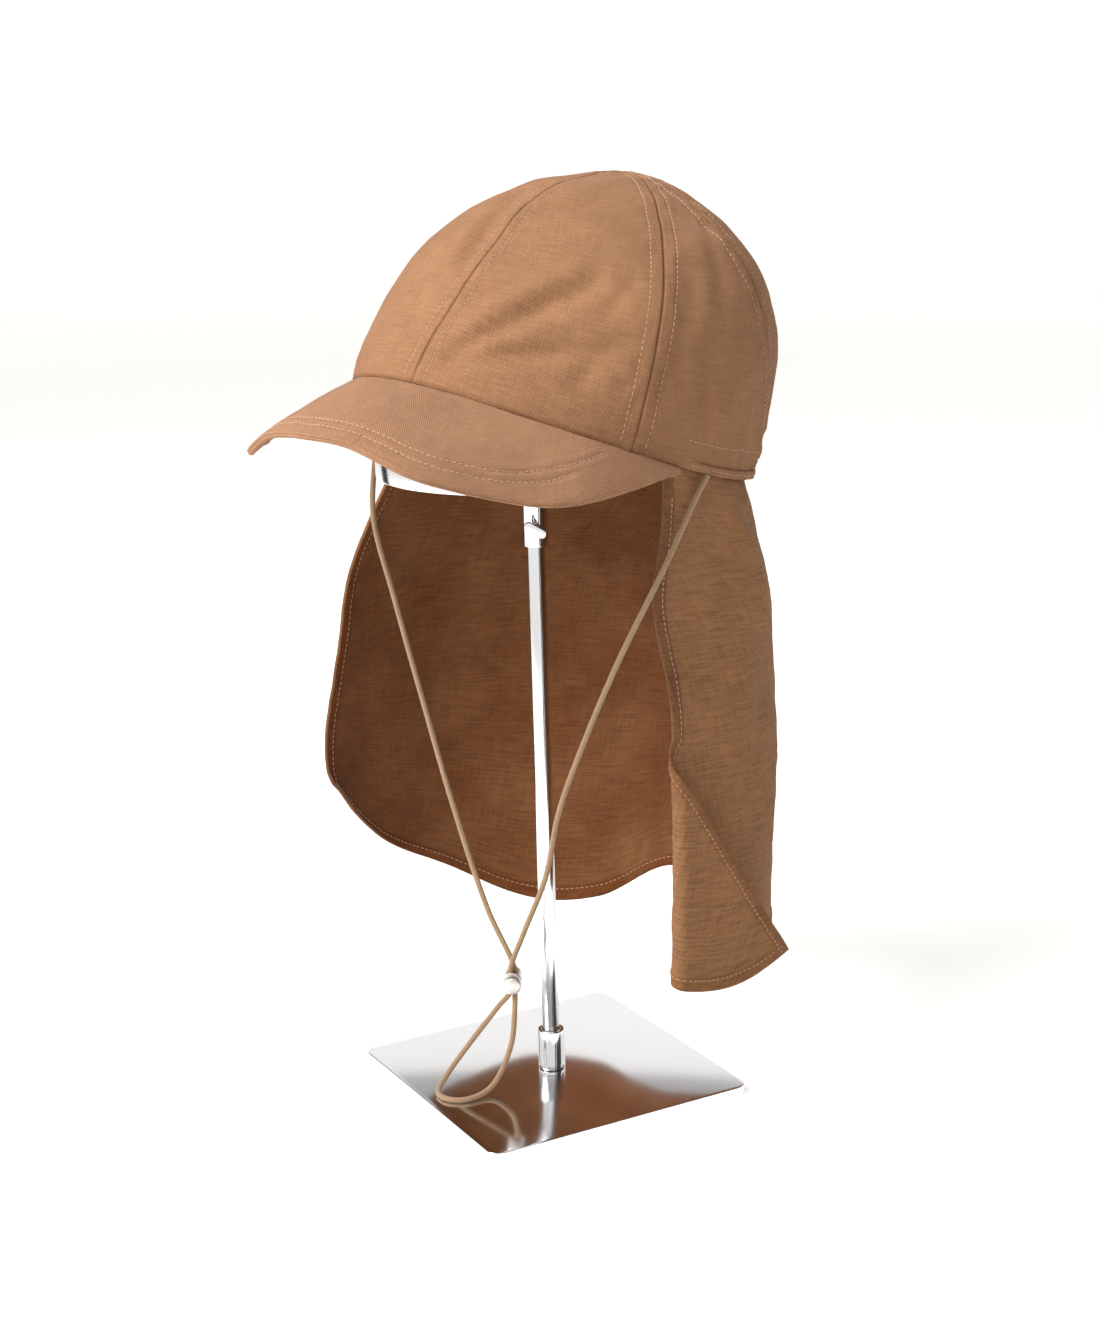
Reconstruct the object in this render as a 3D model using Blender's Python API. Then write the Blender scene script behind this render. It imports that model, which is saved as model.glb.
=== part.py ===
"""A legionnaire cap on a plain hat stand: crown, peak, neck flap and chin cord over a chrome post.

Metres, +Z up. The origin is the centre of the base plate's underside, under the post. The cap
faces -Y and the wearer's left is +X. Angles round the head run from the front towards +X.
"""

from math import cos, hypot, pi, radians, sin, sqrt

import bmesh
import bpy
import numpy as np
from mathutils import Matrix, Vector

# Gaps and walls
GAP = 0.0003
CROWN_WALL = 0.0015
FLAP_WALL = 0.0012
HEM_WALL = 0.0022
BINDING_WALL = 0.0012
BRIM_WALL = 0.0035

# Stand
PLATE_SIDE = 0.150
PLATE_THICK = 0.0045
PLATE_CORNER = 0.007
PLATE_TURN = radians(-19.2)
POST_DIAMETER = 0.009
COLLAR_DIAMETER = 0.014
COLLAR_HEIGHT = 0.0215
SLEEVE_DIAMETER = 0.0127
SLEEVE_FOOT = 0.2845
POST_IN_SLEEVE = 0.0335
SCREW_ABOVE_FOOT = 0.010
SCREW_SHANK = 0.004
SCREW_TURN = radians(42)
SCREW_REACH = 0.0055
PADDLE_LENGTH = 0.012
PADDLE_WIDTH = 0.0045
PADDLE_THICK = 0.0022
PADDLE_TILT = radians(-31)
RING_RADIUS = 0.078
RING_HEIGHT = 0.009
RING_FOOT = 0.3225
STRIP_THICK = 0.002
ARCH_WIDTH = 0.008
ARCH_LEG = 0.004
ARCH_STEP = 0.0002
ARCH_STEPS = 20
HUB_DIAMETER = 0.016
HUB_DROP = 0.005
SEAT_GAP = 0.0006

# Cap opening and crown
RIM_HALF_LENGTH = 0.098
RIM_HALF_WIDTH = 0.093
RIM_SQUARENESS = 2.15
RIM_BACK_SHIFT = 0.0158
RIM_LEVEL = 0.341
RIM_FRONT_LIFT = 0.029
RIM_SIDE_DIP = 0.0046
RIM_ROLL = 0.0098
CROWN_TOP = 0.4637
CROWN_TOP_BACK = 0.077
CROWN_LEAN = -0.0132
CROWN_SHIFT = 0.0017
CROWN_ROUNDNESS = 2.153
CROWN_FRONT_ROUNDNESS = 0.114
CROWN_SWELL = 0.214
CROWN_BACK_SWELL = 0.556
CROWN_SIDE_SWELL = 0.048
GATHER_DEPTH = 0.0012
GATHER_COUNT = 18
BINDING_HEIGHT = 0.0048
BINDING_START = radians(85)

# Peak
BRIM_REACH = 0.150
BRIM_HALF_WIDTH = 0.096
BRIM_SIDE_LEVEL = 0.3282
BRIM_RISE = 0.032
BRIM_CAMBER = 0.0020
BRIM_END = radians(80)
BRIM_END_WIDTH = 0.003

# Neck flap
FLAP_LENGTH = 0.262
FLAP_SPREAD = 0.0967
FLAP_LEVEL = 0.338
FLAP_TUCK = 0.006
FLAP_SHOWN = 0.001
SHOULDER_DROP = 0.28
SHOULDER_HALF_WIDTH = 0.14
FLAP_FOLD_START = 0.54
LAPEL_REACH = 0.082
LAPEL_LEAST = 0.012
LAPEL_TURN_RADIUS = 0.0045
LAPEL_SPLAY = 0.16
LAPEL_HEM_DIP = 0.009
HEM_WIDTH = 0.0065

# Chin cord and its stopper
CORD_DIAMETER = 0.0028
BARREL_DIAMETER = 0.0094
BARREL_BACK = -0.0073
BARREL_FRONT = 0.0060
BARREL_BORE = 0.0076
BARREL_FLOOR = 0.0008
HOLE_HALF_LENGTH = 0.0029
HOLE_WIDTH = 0.0054
PLUNGER_DIAMETER = 0.0070
PLUNGER_BACK = -0.0037
PLUNGER_TRAVEL = 0.0025
PLUNGER_HEAD = 0.0088
HEAD_DIAMETER = 0.0090
HEAD_THICK = 0.0024
STRAND_ACROSS = 0.0010
STRAND_ALONG = 0.0012
STOPPER_PLACE = Vector((-0.0005, -0.0275, 0.0625))
STOPPER_TURN = radians(42)
CORD_DROP = 0.0006
NEAR_CORD_ANGLE = radians(92)
NEAR_CORD_INSET = -0.0005
FAR_CORD_ANGLE = radians(-71)
FAR_CORD_INSET = 0.0054
FAR_CORD_LIFT = 0.004

# How finely the pieces are divided
CROWN_SIDES = 72
CROWN_ROWS = 12
FLAP_COLUMNS = 46
TURN_COLUMNS = 5
LAPEL_COLUMNS = 6
FLAP_ROWS = 13
BRIM_COLUMNS = 36
BRIM_ROWS = 6
CORD_POINTS = 80
ROUND_SIDES = 24
STOPPER_SIDES = 16

# Soft creases of the front panels. Each runs from one place to another on the crown, given as an
# angle round the head and a share of the way up; depth is a share of the gather depth.
CREASES = (
    # name, angle_from, share_from, angle_to, share_to, half_width, depth
    ("left_panel_low", 14, 0.10, 50, 0.42, 5.0, 1.5),
    ("left_panel_high", 20, 0.22, 62, 0.58, 6.0, 1.2),
    ("left_side", 76, 0.12, 98, 0.50, 6.0, 1.0),
    ("right_panel", -24, 0.15, -48, 0.50, 6.0, 1.2),
    ("right_side", -80, 0.15, -98, 0.50, 6.0, 1.0),
)

# The peak's outer edge between its two ends. Across is a share of the peak's half width, ahead of
# its reach, and rise of its rise from the side to the middle.
BRIM_STATIONS = (
    # name, across, ahead, rise
    ("far_back", -0.985, 0.230, 0.620),
    ("far_side", -0.995, 0.503, 0.560),
    ("far_corner", -0.890, 0.690, 0.530),
    ("far_front", -0.615, 0.893, 0.540),
    ("front_far", -0.380, 0.948, 0.860),
    ("middle", -0.025, 1.001, 0.980),
    ("front_near", 0.242, 0.982, 0.900),
    ("near_corner", 0.601, 0.909, 0.450),
    ("near_front", 0.894, 0.651, 0.010),
    ("near_side", 0.995, 0.503, -0.060),
    ("near_back", 1.002, 0.230, -0.030),
)

# The flap from its far front edge round the back to the fold near its other edge. The plan
# places and the shoulder, which is pushed out below the rim, are shares of the flap's spread, and
# the drops are shares of its length.
FLAP_STATIONS = (
    # name, rim_angle, shoulder, middle_x, middle_y, middle_drop, hem_x, hem_y, hem_drop
    ("far_edge", -86, 0.080, -1.360, -0.190, 0.500, -1.365, -0.255, 0.745),
    ("far_side", -104, 0.060, -1.385, 0.200, 0.510, -1.400, 0.140, 0.905),
    ("far_quarter", -126, 0.020, -1.290, 0.610, 0.510, -1.300, 0.575, 1.005),
    ("far_back", -150, 0.000, -0.960, 1.000, 0.510, -1.010, 0.930, 1.090),
    ("back", -172, 0.000, -0.480, 1.200, 0.510, -0.610, 1.140, 1.080),
    ("near_back", -195, 0.000, 0.060, 1.290, 0.510, -0.130, 1.260, 0.985),
    ("turn", -222, 0.030, 0.540, 1.250, 0.510, 0.480, 1.290, 1.040),
    ("near_side", -248, 0.000, 0.880, 0.740, 0.510, 0.790, 0.740, 1.070),
    ("fold", -284, -0.100, 0.795, 0.120, 0.510, 0.800, 0.080, 1.020),
)

# The chin cord's route as it hangs: from the far temple down to the stopper, round the loop that
# lies on the plate, and back up through the stopper to the near temple.
CORD_ROUTE = (
    ("far_start", 0.0, 0.0, 0.0),
    ("far_under_brim", -0.0835, -0.0230, 0.3420),
    ("far_brim", -0.0835, -0.0290, 0.3190),
    ("far_high", -0.0822, -0.0322, 0.2950),
    ("far_upper", -0.0722, -0.0300, 0.2550),
    ("far_middle", -0.0570, -0.0265, 0.1985),
    ("far_lower", -0.0405, -0.0245, 0.1455),
    ("far_near_lock", -0.0190, -0.0245, 0.0950),
    ("far_lock_top", 0.0, 0.0, 0.0),
    ("far_lock_foot", 0.0, 0.0, 0.0),
    ("loop_right", 0.0015, -0.0290, 0.0455),
    ("loop_right_low", 0.0010, -0.0325, 0.0270),
    ("loop_right_floor", -0.0015, -0.0450, 0.0090),
    ("loop_front", -0.0050, -0.0595, 0.0062),
    ("loop_front_left", -0.0130, -0.0655, 0.0062),
    ("loop_left", -0.0225, -0.0630, 0.0066),
    ("loop_left_rise", -0.0245, -0.0545, 0.0120),
    ("loop_left_high", -0.0165, -0.0440, 0.0290),
    ("loop_left_top", -0.0060, -0.0330, 0.0480),
    ("near_lock_foot", 0.0, 0.0, 0.0),
    ("near_lock_top", 0.0, 0.0, 0.0),
    ("near_above_lock", 0.0075, -0.0260, 0.0900),
    ("near_lower", 0.0190, -0.0215, 0.1200),
    ("near_bend", 0.0285, -0.0205, 0.1560),
    ("near_middle", 0.0420, -0.0180, 0.1900),
    ("near_upper", 0.0645, -0.0150, 0.2370),
    ("near_high", 0.0840, -0.0020, 0.2840),
    ("near_brim", 0.0920, 0.0135, 0.3170),
    ("near_start", 0.0, 0.0, 0.0),
)


def clear_scene():
    for item in list(bpy.data.objects):
        bpy.data.objects.remove(item, do_unlink=True)


def material(name, colour, roughness, metallic=0.0):
    made = bpy.data.materials.new(name)
    made.use_nodes = True
    shader = made.node_tree.nodes["Principled BSDF"]
    shader.inputs["Base Color"].default_value = (*colour, 1.0)
    shader.inputs["Roughness"].default_value = roughness
    shader.inputs["Metallic"].default_value = metallic
    made.diffuse_color = (*colour, 1.0)
    return made


def add_object(name, mesh_maker, finish, smooth_angle=radians(40)):
    """A named object from a bmesh, with one material."""
    mesh = bpy.data.meshes.new(name)
    mesh_maker.to_mesh(mesh)
    mesh_maker.free()
    mesh.materials.append(finish)
    mesh.shade_smooth()
    mesh.set_sharp_from_angle(angle=smooth_angle)
    made = bpy.data.objects.new(name, mesh)
    bpy.context.scene.collection.objects.link(made)
    return made


def add_boolean(target, cutter, operation="DIFFERENCE"):
    change = target.modifiers.new(cutter.name, "BOOLEAN")
    change.operation = operation
    change.solver = "EXACT"
    change.object = cutter


def turned(profile, sides):
    """A bmesh turned about Z from a profile of radius and height, closed on the axis."""
    made = bmesh.new()
    points = [made.verts.new((radius, 0.0, height)) for radius, height in profile]
    edges = [made.edges.new(pair) for pair in zip(points, points[1:])]
    if profile[0] != profile[-1] and profile[0][0] > 0 and profile[-1][0] > 0:
        edges.append(made.edges.new((points[-1], points[0])))
    bmesh.ops.spin(
        made,
        geom=points + edges,
        axis=(0, 0, 1),
        cent=(0, 0, 0),
        angle=2 * pi,
        steps=sides,
        use_merge=True,
        use_duplicate=False,
    )
    bmesh.ops.remove_doubles(made, verts=made.verts, dist=1e-6)
    bmesh.ops.recalc_face_normals(made, faces=made.faces)
    return made


def grid(columns, rows, place):
    """An open sheet of columns by rows moved to place(column, row), and its points by both.

    Its faces look to the side from which the columns run right as the rows run up.
    """
    made = bmesh.new()
    bmesh.ops.create_grid(made, x_segments=columns - 1, y_segments=rows - 1, size=0.5)
    points = {}
    for point in made.verts:
        column = round((point.co.x + 0.5) * (columns - 1))
        row = round((point.co.y + 0.5) * (rows - 1))
        points[column, row] = point
        point.co = place(column, row)
    return made, points


def smooth_through(points):
    """A fine line of points on a smooth curve through the given ones."""
    points = np.array(points, float)
    chord = np.sqrt(np.linalg.norm(np.diff(points, axis=0), axis=1)) + 1e-9
    at = np.concatenate([[0], np.cumsum(chord)])
    slope = np.gradient(points, at, axis=0)
    fine = []
    for k in range(len(points) - 1):
        step = at[k + 1] - at[k]
        t = np.linspace(0, 1, 24, endpoint=k == len(points) - 2)[:, None]
        fine.append(
            (2 * t**3 - 3 * t**2 + 1) * points[k]
            + (t**3 - 2 * t**2 + t) * step * slope[k]
            + (3 * t**2 - 2 * t**3) * points[k + 1]
            + (t**3 - t**2) * step * slope[k + 1]
        )
    return np.concatenate(fine)


def line_lengths(line):
    """The distance along a fine line to each of its points."""
    steps = np.linalg.norm(np.diff(line, axis=0), axis=1)
    return np.concatenate([[0], np.cumsum(steps)])


def taken(line, wanted):
    """The points of a fine line at the wanted distances along it."""
    along = line_lengths(line)
    return np.stack([np.interp(wanted, along, line[:, axis]) for axis in range(3)], axis=1)


def spaced(line, count):
    """Evenly spaced points along a fine line."""
    return taken(line, np.linspace(0, line_lengths(line)[-1], count))


def rim_point(angle, inset=0.0):
    """A point on the cap's lower edge, moved in towards the head by inset."""
    across, ahead = sin(angle), cos(angle)
    squared = abs(across) ** RIM_SQUARENESS + abs(ahead) ** RIM_SQUARENESS
    reach = squared ** (-1 / RIM_SQUARENESS)
    x = (RIM_HALF_WIDTH - inset) * across * reach
    y = RIM_BACK_SHIFT - (RIM_HALF_LENGTH - inset) * ahead * reach
    z = RIM_LEVEL + RIM_FRONT_LIFT * ahead + RIM_SIDE_DIP * cos(2 * angle) - RIM_ROLL * across
    return np.array((x, y, z))


def crease_depth(angle, share):
    """How far the creases press the crown in, at an angle and a share of the way up."""
    turn, rise, depth = np.degrees(angle), 90 * share, 0.0
    turn = (turn + 180) % 360 - 180
    for _, angle_a, share_a, angle_b, share_b, half_width, deep in CREASES:
        start = np.array((angle_a, 90 * share_a))
        run = np.array((angle_b, 90 * share_b)) - start
        away = np.array((turn, rise)) - start
        part = min(1.0, max(0.0, away @ run / (run @ run)))
        far = np.linalg.norm(away - part * run)
        depth += deep * GATHER_DEPTH * np.exp(-((far / half_width) ** 2))
    return depth


def crown_surface(angle, share):
    """The crown's outer face without creases. share is 0 at the rim and 1 at the top."""
    rim = rim_point(angle)
    roundness = CROWN_ROUNDNESS + CROWN_FRONT_ROUNDNESS * cos(angle)
    climb = min(share, 0.9999) * pi / 2
    swell = CROWN_SWELL - CROWN_BACK_SWELL * cos(angle) + CROWN_SIDE_SWELL * cos(2 * angle)
    width = cos(climb) ** (2 / roundness) * (1 + swell * sin(2 * climb))
    height = sin(climb) ** (2 / roundness)
    x = rim[0] * width + CROWN_SHIFT * sin(2 * climb)
    y = CROWN_TOP_BACK + (rim[1] - CROWN_TOP_BACK) * width + CROWN_LEAN * sin(2 * climb)
    z = rim[2] + (CROWN_TOP - rim[2]) * height
    return np.array((x, y, z))


def crown_point(angle, share, inset=0.0):
    """A point on the crown with its creases and gathers, moved in by inset."""
    step = 0.01
    here = crown_surface(angle, share)
    low, high = max(share - step, 0.0), min(share + step, 1.0)
    up = crown_surface(angle, high) - crown_surface(angle, low)
    round_head = crown_surface(angle + step, share) - crown_surface(angle - step, share)
    if np.linalg.norm(round_head) < 1e-6:
        return here - np.array((0, 0, inset))
    outward = np.cross(round_head, up)
    outward /= np.linalg.norm(outward)
    behind = max(0.0, -cos(angle)) ** 0.5
    gather = GATHER_DEPTH * behind * cos(GATHER_COUNT * angle) * max(0.0, 1 - 3.2 * share)
    return here + outward * (gather - crease_depth(angle, share) - inset)


def crown_row(row):
    """The share of the way up of each row of points."""
    return (row / (CROWN_ROWS - 1)) ** 0.9


def make_crown(finish):
    def place(column, row):
        return crown_point(2 * pi * column / CROWN_SIDES, crown_row(row))

    made, _ = grid(CROWN_SIDES + 1, CROWN_ROWS, place)
    bmesh.ops.remove_doubles(made, verts=made.verts, dist=1e-5)
    crown = add_object("crown", made, finish)
    wall = crown.modifiers.new("wall", "SOLIDIFY")
    wall.thickness = CROWN_WALL
    wall.offset = -1
    wall.use_even_offset = True


def make_binding(finish):
    """The narrow band round the back of the crown's edge, outside its wall."""
    first = round(CROWN_SIDES * BINDING_START / (2 * pi))
    columns = CROWN_SIDES - 2 * first + 1

    def place(column, row):
        angle = 2 * pi * (first + column) / CROWN_SIDES
        low = crown_point(angle, 0.0, -GAP - BINDING_WALL)
        high = crown_point(angle, crown_row(1), -GAP - BINDING_WALL)
        return low + (high - low) * row * BINDING_HEIGHT / (high[2] - low[2])

    made, _ = grid(columns, 2, place)
    binding = add_object("rim_binding", made, finish)
    wall = binding.modifiers.new("wall", "SOLIDIFY")
    wall.thickness = BINDING_WALL
    wall.offset = -1


def brim_edge():
    """The peak's outer edge as a fine line from its far end to its near one."""
    points = []
    for _, across, ahead, rise in BRIM_STATIONS:
        level = BRIM_SIDE_LEVEL + rise * BRIM_RISE
        points.append((across * BRIM_HALF_WIDTH, -ahead * BRIM_REACH, level))
    drop = np.array((0, 0, BRIM_END_WIDTH / 2))
    far_end = rim_point(-BRIM_END, -BRIM_END_WIDTH) - drop
    near_end = rim_point(BRIM_END, -BRIM_END_WIDTH) - drop
    return smooth_through([far_end, *points, near_end])


def make_brim(finish):
    """The peak, from its own edge to the crown's."""
    outer = spaced(brim_edge(), BRIM_COLUMNS)

    def place(column, row):
        share = 2 * column / (BRIM_COLUMNS - 1) - 1
        out = 1 - row / (BRIM_ROWS - 1)
        inner = rim_point(share * BRIM_END) - np.array((0, 0, GAP))
        camber = BRIM_CAMBER * 4 * out * (1 - out) * cos(share * pi / 2)
        return inner + (outer[column] - inner) * out + np.array((0, 0, camber))

    made, _ = grid(BRIM_COLUMNS, BRIM_ROWS, place)
    brim = add_object("brim", made, finish)
    wall = brim.modifiers.new("wall", "SOLIDIFY")
    wall.thickness = BRIM_WALL
    wall.offset = -1


def flap_runs():
    """The table of the flap as fine runs of rim angle, shoulder, middle place and hem place."""
    rows = []
    for _, angle, shoulder, middle_x, middle_y, middle_drop, hem_x, hem_y, hem_drop in FLAP_STATIONS:
        plan = (radians(angle), shoulder, middle_x, middle_y, hem_x, hem_y)
        middle_z = FLAP_LEVEL - middle_drop * FLAP_LENGTH
        hem_z = FLAP_LEVEL - hem_drop * FLAP_LENGTH
        rows.append((*(FLAP_SPREAD * share for share in plan), middle_z, hem_z))
    return smooth_through(rows)


def flap_line(runs, drop):
    """The flap's plan at one level, as a fine line from its far edge to its fold."""
    tuck = CROWN_WALL + GAP + FLAP_WALL / 2 + GATHER_DEPTH
    at_top = (1 - drop) * (1 - 2 * drop)
    at_middle = 4 * drop * (1 - drop)
    at_hem = drop * (2 * drop - 1)
    push = np.exp(-(((drop - SHOULDER_DROP) / SHOULDER_HALF_WIDTH) ** 2))
    points = []
    for angle, shoulder, middle_x, middle_y, hem_x, hem_y, middle_z, hem_z in runs:
        top = rim_point(angle / FLAP_SPREAD, tuck) - np.array((0, 0, FLAP_SHOWN))
        middle = np.array((middle_x, middle_y, middle_z))
        hem = np.array((hem_x, hem_y, hem_z))
        out = np.array((middle_x, middle_y, 0)) / hypot(middle_x, middle_y)
        points.append(top * at_top + middle * at_middle + hem * at_hem + out * shoulder * push)
    return np.array(points)


def lapel_line(line, lapel):
    """The folded-back corner at one level: half a turn round the fold, then back along the side."""
    heading = line[-1] - line[-4]
    heading[2] = 0
    heading /= np.linalg.norm(heading)
    side = np.array((-heading[1], heading[0], 0))
    points = []
    for gone in np.linspace(0, lapel, 41)[1:]:
        turn = min(gone / LAPEL_TURN_RADIUS, pi)
        bend = line[-1] + LAPEL_TURN_RADIUS * (heading * sin(turn) + side * (1 - cos(turn)))
        straight = max(0.0, gone - pi * LAPEL_TURN_RADIUS)
        bend = bend - heading * straight + side * LAPEL_SPLAY * straight
        bend[2] -= LAPEL_HEM_DIP * (lapel / LAPEL_REACH) * sin(pi * gone / LAPEL_REACH)
        points.append(bend)
    return np.array(points)


def flap_level(runs, drop):
    """The flap's row of points at one level, with the same column at the fold in each row."""
    line = flap_line(runs, drop)
    fold = line_lengths(line)[-1]
    lapel = LAPEL_REACH * (drop - FLAP_FOLD_START) / (1 - FLAP_FOLD_START)
    if lapel > 0:
        line = np.concatenate([line, lapel_line(line, lapel)])
    whole = line_lengths(line)[-1]
    fold = min(fold, whole - LAPEL_LEAST)
    span = whole - fold
    turned_over = fold + min(pi * LAPEL_TURN_RADIUS, 0.45 * span)
    hem = whole - min(HEM_WIDTH, 0.3 * span)
    wanted = [0.0, *np.linspace(HEM_WIDTH, fold, FLAP_COLUMNS)]
    wanted += [*np.linspace(fold, turned_over, TURN_COLUMNS + 1)[1:]]
    wanted += [*np.linspace(turned_over, hem, LAPEL_COLUMNS)[1:], whole]
    return taken(line, wanted)


def make_flap(finish):
    drops = [row / (FLAP_ROWS - 1) for row in range(FLAP_ROWS - 1)]
    drops += [1 - HEM_WIDTH / FLAP_LENGTH, 1.0]
    runs = flap_runs()
    levels = [flap_level(runs, drop) for drop in drops]
    levels.insert(0, levels[0] + np.array((0, 0, FLAP_SHOWN + FLAP_TUCK)))
    columns, rows = len(levels[0]), len(levels)

    def place(column, row):
        return levels[row][column]

    made, points = grid(columns, rows, place)
    made.verts.index_update()
    ends = (0, 1, columns - 2, columns - 1)
    edge = [
        point.index
        for (column, row), point in points.items()
        if column in ends or row >= rows - 2
    ]
    flap = add_object("neck_flap", made, finish)
    hem = flap.vertex_groups.new(name="hem")
    hem.add(edge, 1.0, "REPLACE")
    wall = flap.modifiers.new("wall", "SOLIDIFY")
    wall.thickness = HEM_WALL
    wall.vertex_group = hem.name
    wall.thickness_vertex_group = FLAP_WALL / HEM_WALL
    wall.offset = 0


def stopper_place(along, across, up):
    """A point given by its place along the stopper's button, across it and up from its middle."""
    ahead = Vector((sin(STOPPER_TURN), -cos(STOPPER_TURN), 0))
    side = Vector((cos(STOPPER_TURN), sin(STOPPER_TURN), 0))
    return STOPPER_PLACE + along * ahead + across * side + Vector((0, 0, up))


def cord_route():
    """The cord's points: the table, with its two ends at the cap's edge and its passes of the lock."""
    far_start = rim_point(FAR_CORD_ANGLE, FAR_CORD_INSET) + np.array((0, 0, FAR_CORD_LIFT))
    near_start = rim_point(NEAR_CORD_ANGLE, NEAR_CORD_INSET) - np.array((0, 0, CORD_DROP))
    reach = 0.6 * BARREL_DIAMETER
    reckoned = {
        "far_start": far_start,
        "far_lock_top": stopper_place(-STRAND_ALONG, STRAND_ACROSS, reach),
        "far_lock_foot": stopper_place(-STRAND_ALONG, STRAND_ACROSS, -reach),
        "near_lock_top": stopper_place(STRAND_ALONG, -STRAND_ACROSS, reach),
        "near_lock_foot": stopper_place(STRAND_ALONG, -STRAND_ACROSS, -reach),
        "near_start": near_start,
    }
    route = [tuple(reckoned.get(name, (x, y, z))) for name, x, y, z in CORD_ROUTE]
    return spaced(smooth_through(route), CORD_POINTS)


def make_cord(finish):
    line = bpy.data.curves.new("chin_cord", "CURVE")
    line.dimensions = "3D"
    line.bevel_depth = CORD_DIAMETER / 2
    line.bevel_resolution = 2
    line.use_fill_caps = True
    route = cord_route()
    spline = line.splines.new("POLY")
    spline.points.add(len(route) - 1)
    for point, place in zip(spline.points, route):
        point.co = (*place, 1.0)
    line.materials.append(finish)
    cord = bpy.data.objects.new("chin_cord", line)
    bpy.context.scene.collection.objects.link(cord)


def box(size_x, size_y, size_z, centre=(0, 0, 0)):
    made = bmesh.new()
    place = Matrix.Translation(centre) @ Matrix.Diagonal((size_x, size_y, size_z, 1))
    bmesh.ops.create_cube(made, size=1.0, matrix=place)
    return made


def helper(name, made):
    """A cutter, kept out of the model itself."""
    mesh = bpy.data.meshes.new(name)
    bmesh.ops.recalc_face_normals(made, faces=made.faces)
    made.to_mesh(mesh)
    made.free()
    cutter = bpy.data.objects.new(name, mesh)
    cutter.hide_render = True
    cutter.display_type = "WIRE"
    bpy.context.scene.collection.objects.link(cutter)
    return cutter


def lay_on_button_axis(made):
    """Turns a shape made along Z so that Z runs out through the stopper's button."""
    turn = Matrix.Rotation(STOPPER_TURN, 4, "Z") @ Matrix.Rotation(pi / 2, 4, "X")
    place = Matrix.Translation(STOPPER_PLACE) @ turn
    bmesh.ops.transform(made, matrix=place, verts=made.verts)
    return made


def make_stopper(finish_barrel, finish_plunger):
    outer, bore = BARREL_DIAMETER / 2, BARREL_BORE / 2
    edge = 0.0005
    barrel_profile = (
        (0, BARREL_BACK),
        (outer - edge, BARREL_BACK),
        (outer, BARREL_BACK + edge),
        (outer, BARREL_FRONT - edge),
        (outer - edge, BARREL_FRONT),
        (bore, BARREL_FRONT),
        (bore, BARREL_BACK + BARREL_FLOOR),
        (0, BARREL_BACK + BARREL_FLOOR),
    )
    tube = lay_on_button_axis(turned(barrel_profile, STOPPER_SIDES))
    barrel = add_object("stopper_barrel", tube, finish_barrel)
    hole = lay_on_button_axis(box(HOLE_WIDTH, 2 * BARREL_DIAMETER, 2 * HOLE_HALF_LENGTH))
    add_boolean(barrel, helper("barrel_hole", hole))

    shaft, head = PLUNGER_DIAMETER / 2, HEAD_DIAMETER / 2
    dome = [
        (head * cos(step * pi / 10), PLUNGER_HEAD + HEAD_THICK * (0.4 + 0.6 * sin(step * pi / 10)))
        for step in range(5)
    ]
    plunger_profile = (
        (0, PLUNGER_BACK),
        (shaft, PLUNGER_BACK),
        (shaft, PLUNGER_HEAD),
        (head, PLUNGER_HEAD),
        *dome,
        (0, PLUNGER_HEAD + HEAD_THICK),
    )
    button = lay_on_button_axis(turned(plunger_profile, STOPPER_SIDES))
    plunger = add_object("stopper_plunger", button, finish_plunger)
    slot_length = 2 * HOLE_HALF_LENGTH + PLUNGER_TRAVEL
    slot = box(HOLE_WIDTH, 2 * BARREL_DIAMETER, slot_length, (0, 0, PLUNGER_TRAVEL / 2))
    add_boolean(plunger, helper("plunger_slot", lay_on_button_axis(slot)))


def make_plate(finish):
    made = box(PLATE_SIDE, PLATE_SIDE, PLATE_THICK, (0, 0, PLATE_THICK / 2))
    upright = [e for e in made.edges if abs(e.verts[0].co.z - e.verts[1].co.z) > PLATE_THICK / 2]
    bmesh.ops.bevel(
        made, geom=upright, offset=PLATE_CORNER, segments=5, profile=0.5, affect="EDGES"
    )
    rims = [e for e in made.edges if len(e.link_faces) == 2 and e.calc_face_angle() > radians(60)]
    bmesh.ops.bevel(
        made, geom=rims, offset=PLATE_THICK / 9, segments=1, profile=0.5, affect="EDGES"
    )
    turn = Matrix.Rotation(PLATE_TURN, 3, "Z")
    bmesh.ops.rotate(made, cent=(0, 0, 0), matrix=turn, verts=made.verts)
    add_object("base_plate", made, finish)


def post_top():
    return SLEEVE_FOOT + POST_IN_SLEEVE


def make_post(finish):
    radius = POST_DIAMETER / 2
    foot = PLATE_THICK + GAP
    rod = ((0, foot), (radius, foot), (radius, post_top()), (0, post_top()))
    add_object("post", turned(rod, ROUND_SIDES), finish)
    inner, outer, lip = radius + GAP, COLLAR_DIAMETER / 2, COLLAR_DIAMETER / 20
    top = foot + COLLAR_HEIGHT
    collar = (
        (inner, foot),
        (outer, foot),
        (outer, top - lip),
        (outer - lip, top),
        (inner, top),
        (inner, foot),
    )
    add_object("base_collar", turned(collar, ROUND_SIDES), finish)


def arch_rise():
    """How high the arches stand over the ring, so that the crown rests on them."""
    foot, rises = RING_FOOT + RING_HEIGHT, []
    for angle in np.radians(np.arange(0, 360, 4)):
        for share in np.linspace(0.2, 1.0, 30):
            x, y, z = crown_point(angle, share, CROWN_WALL + SEAT_GAP)
            far = hypot(x, y)
            if far < 0.9 * RING_RADIUS and min(abs(x), abs(y)) < ARCH_WIDTH:
                rises.append((z - foot) / sqrt(1 - (far / RING_RADIUS) ** 2))
    return min(rises)


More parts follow.
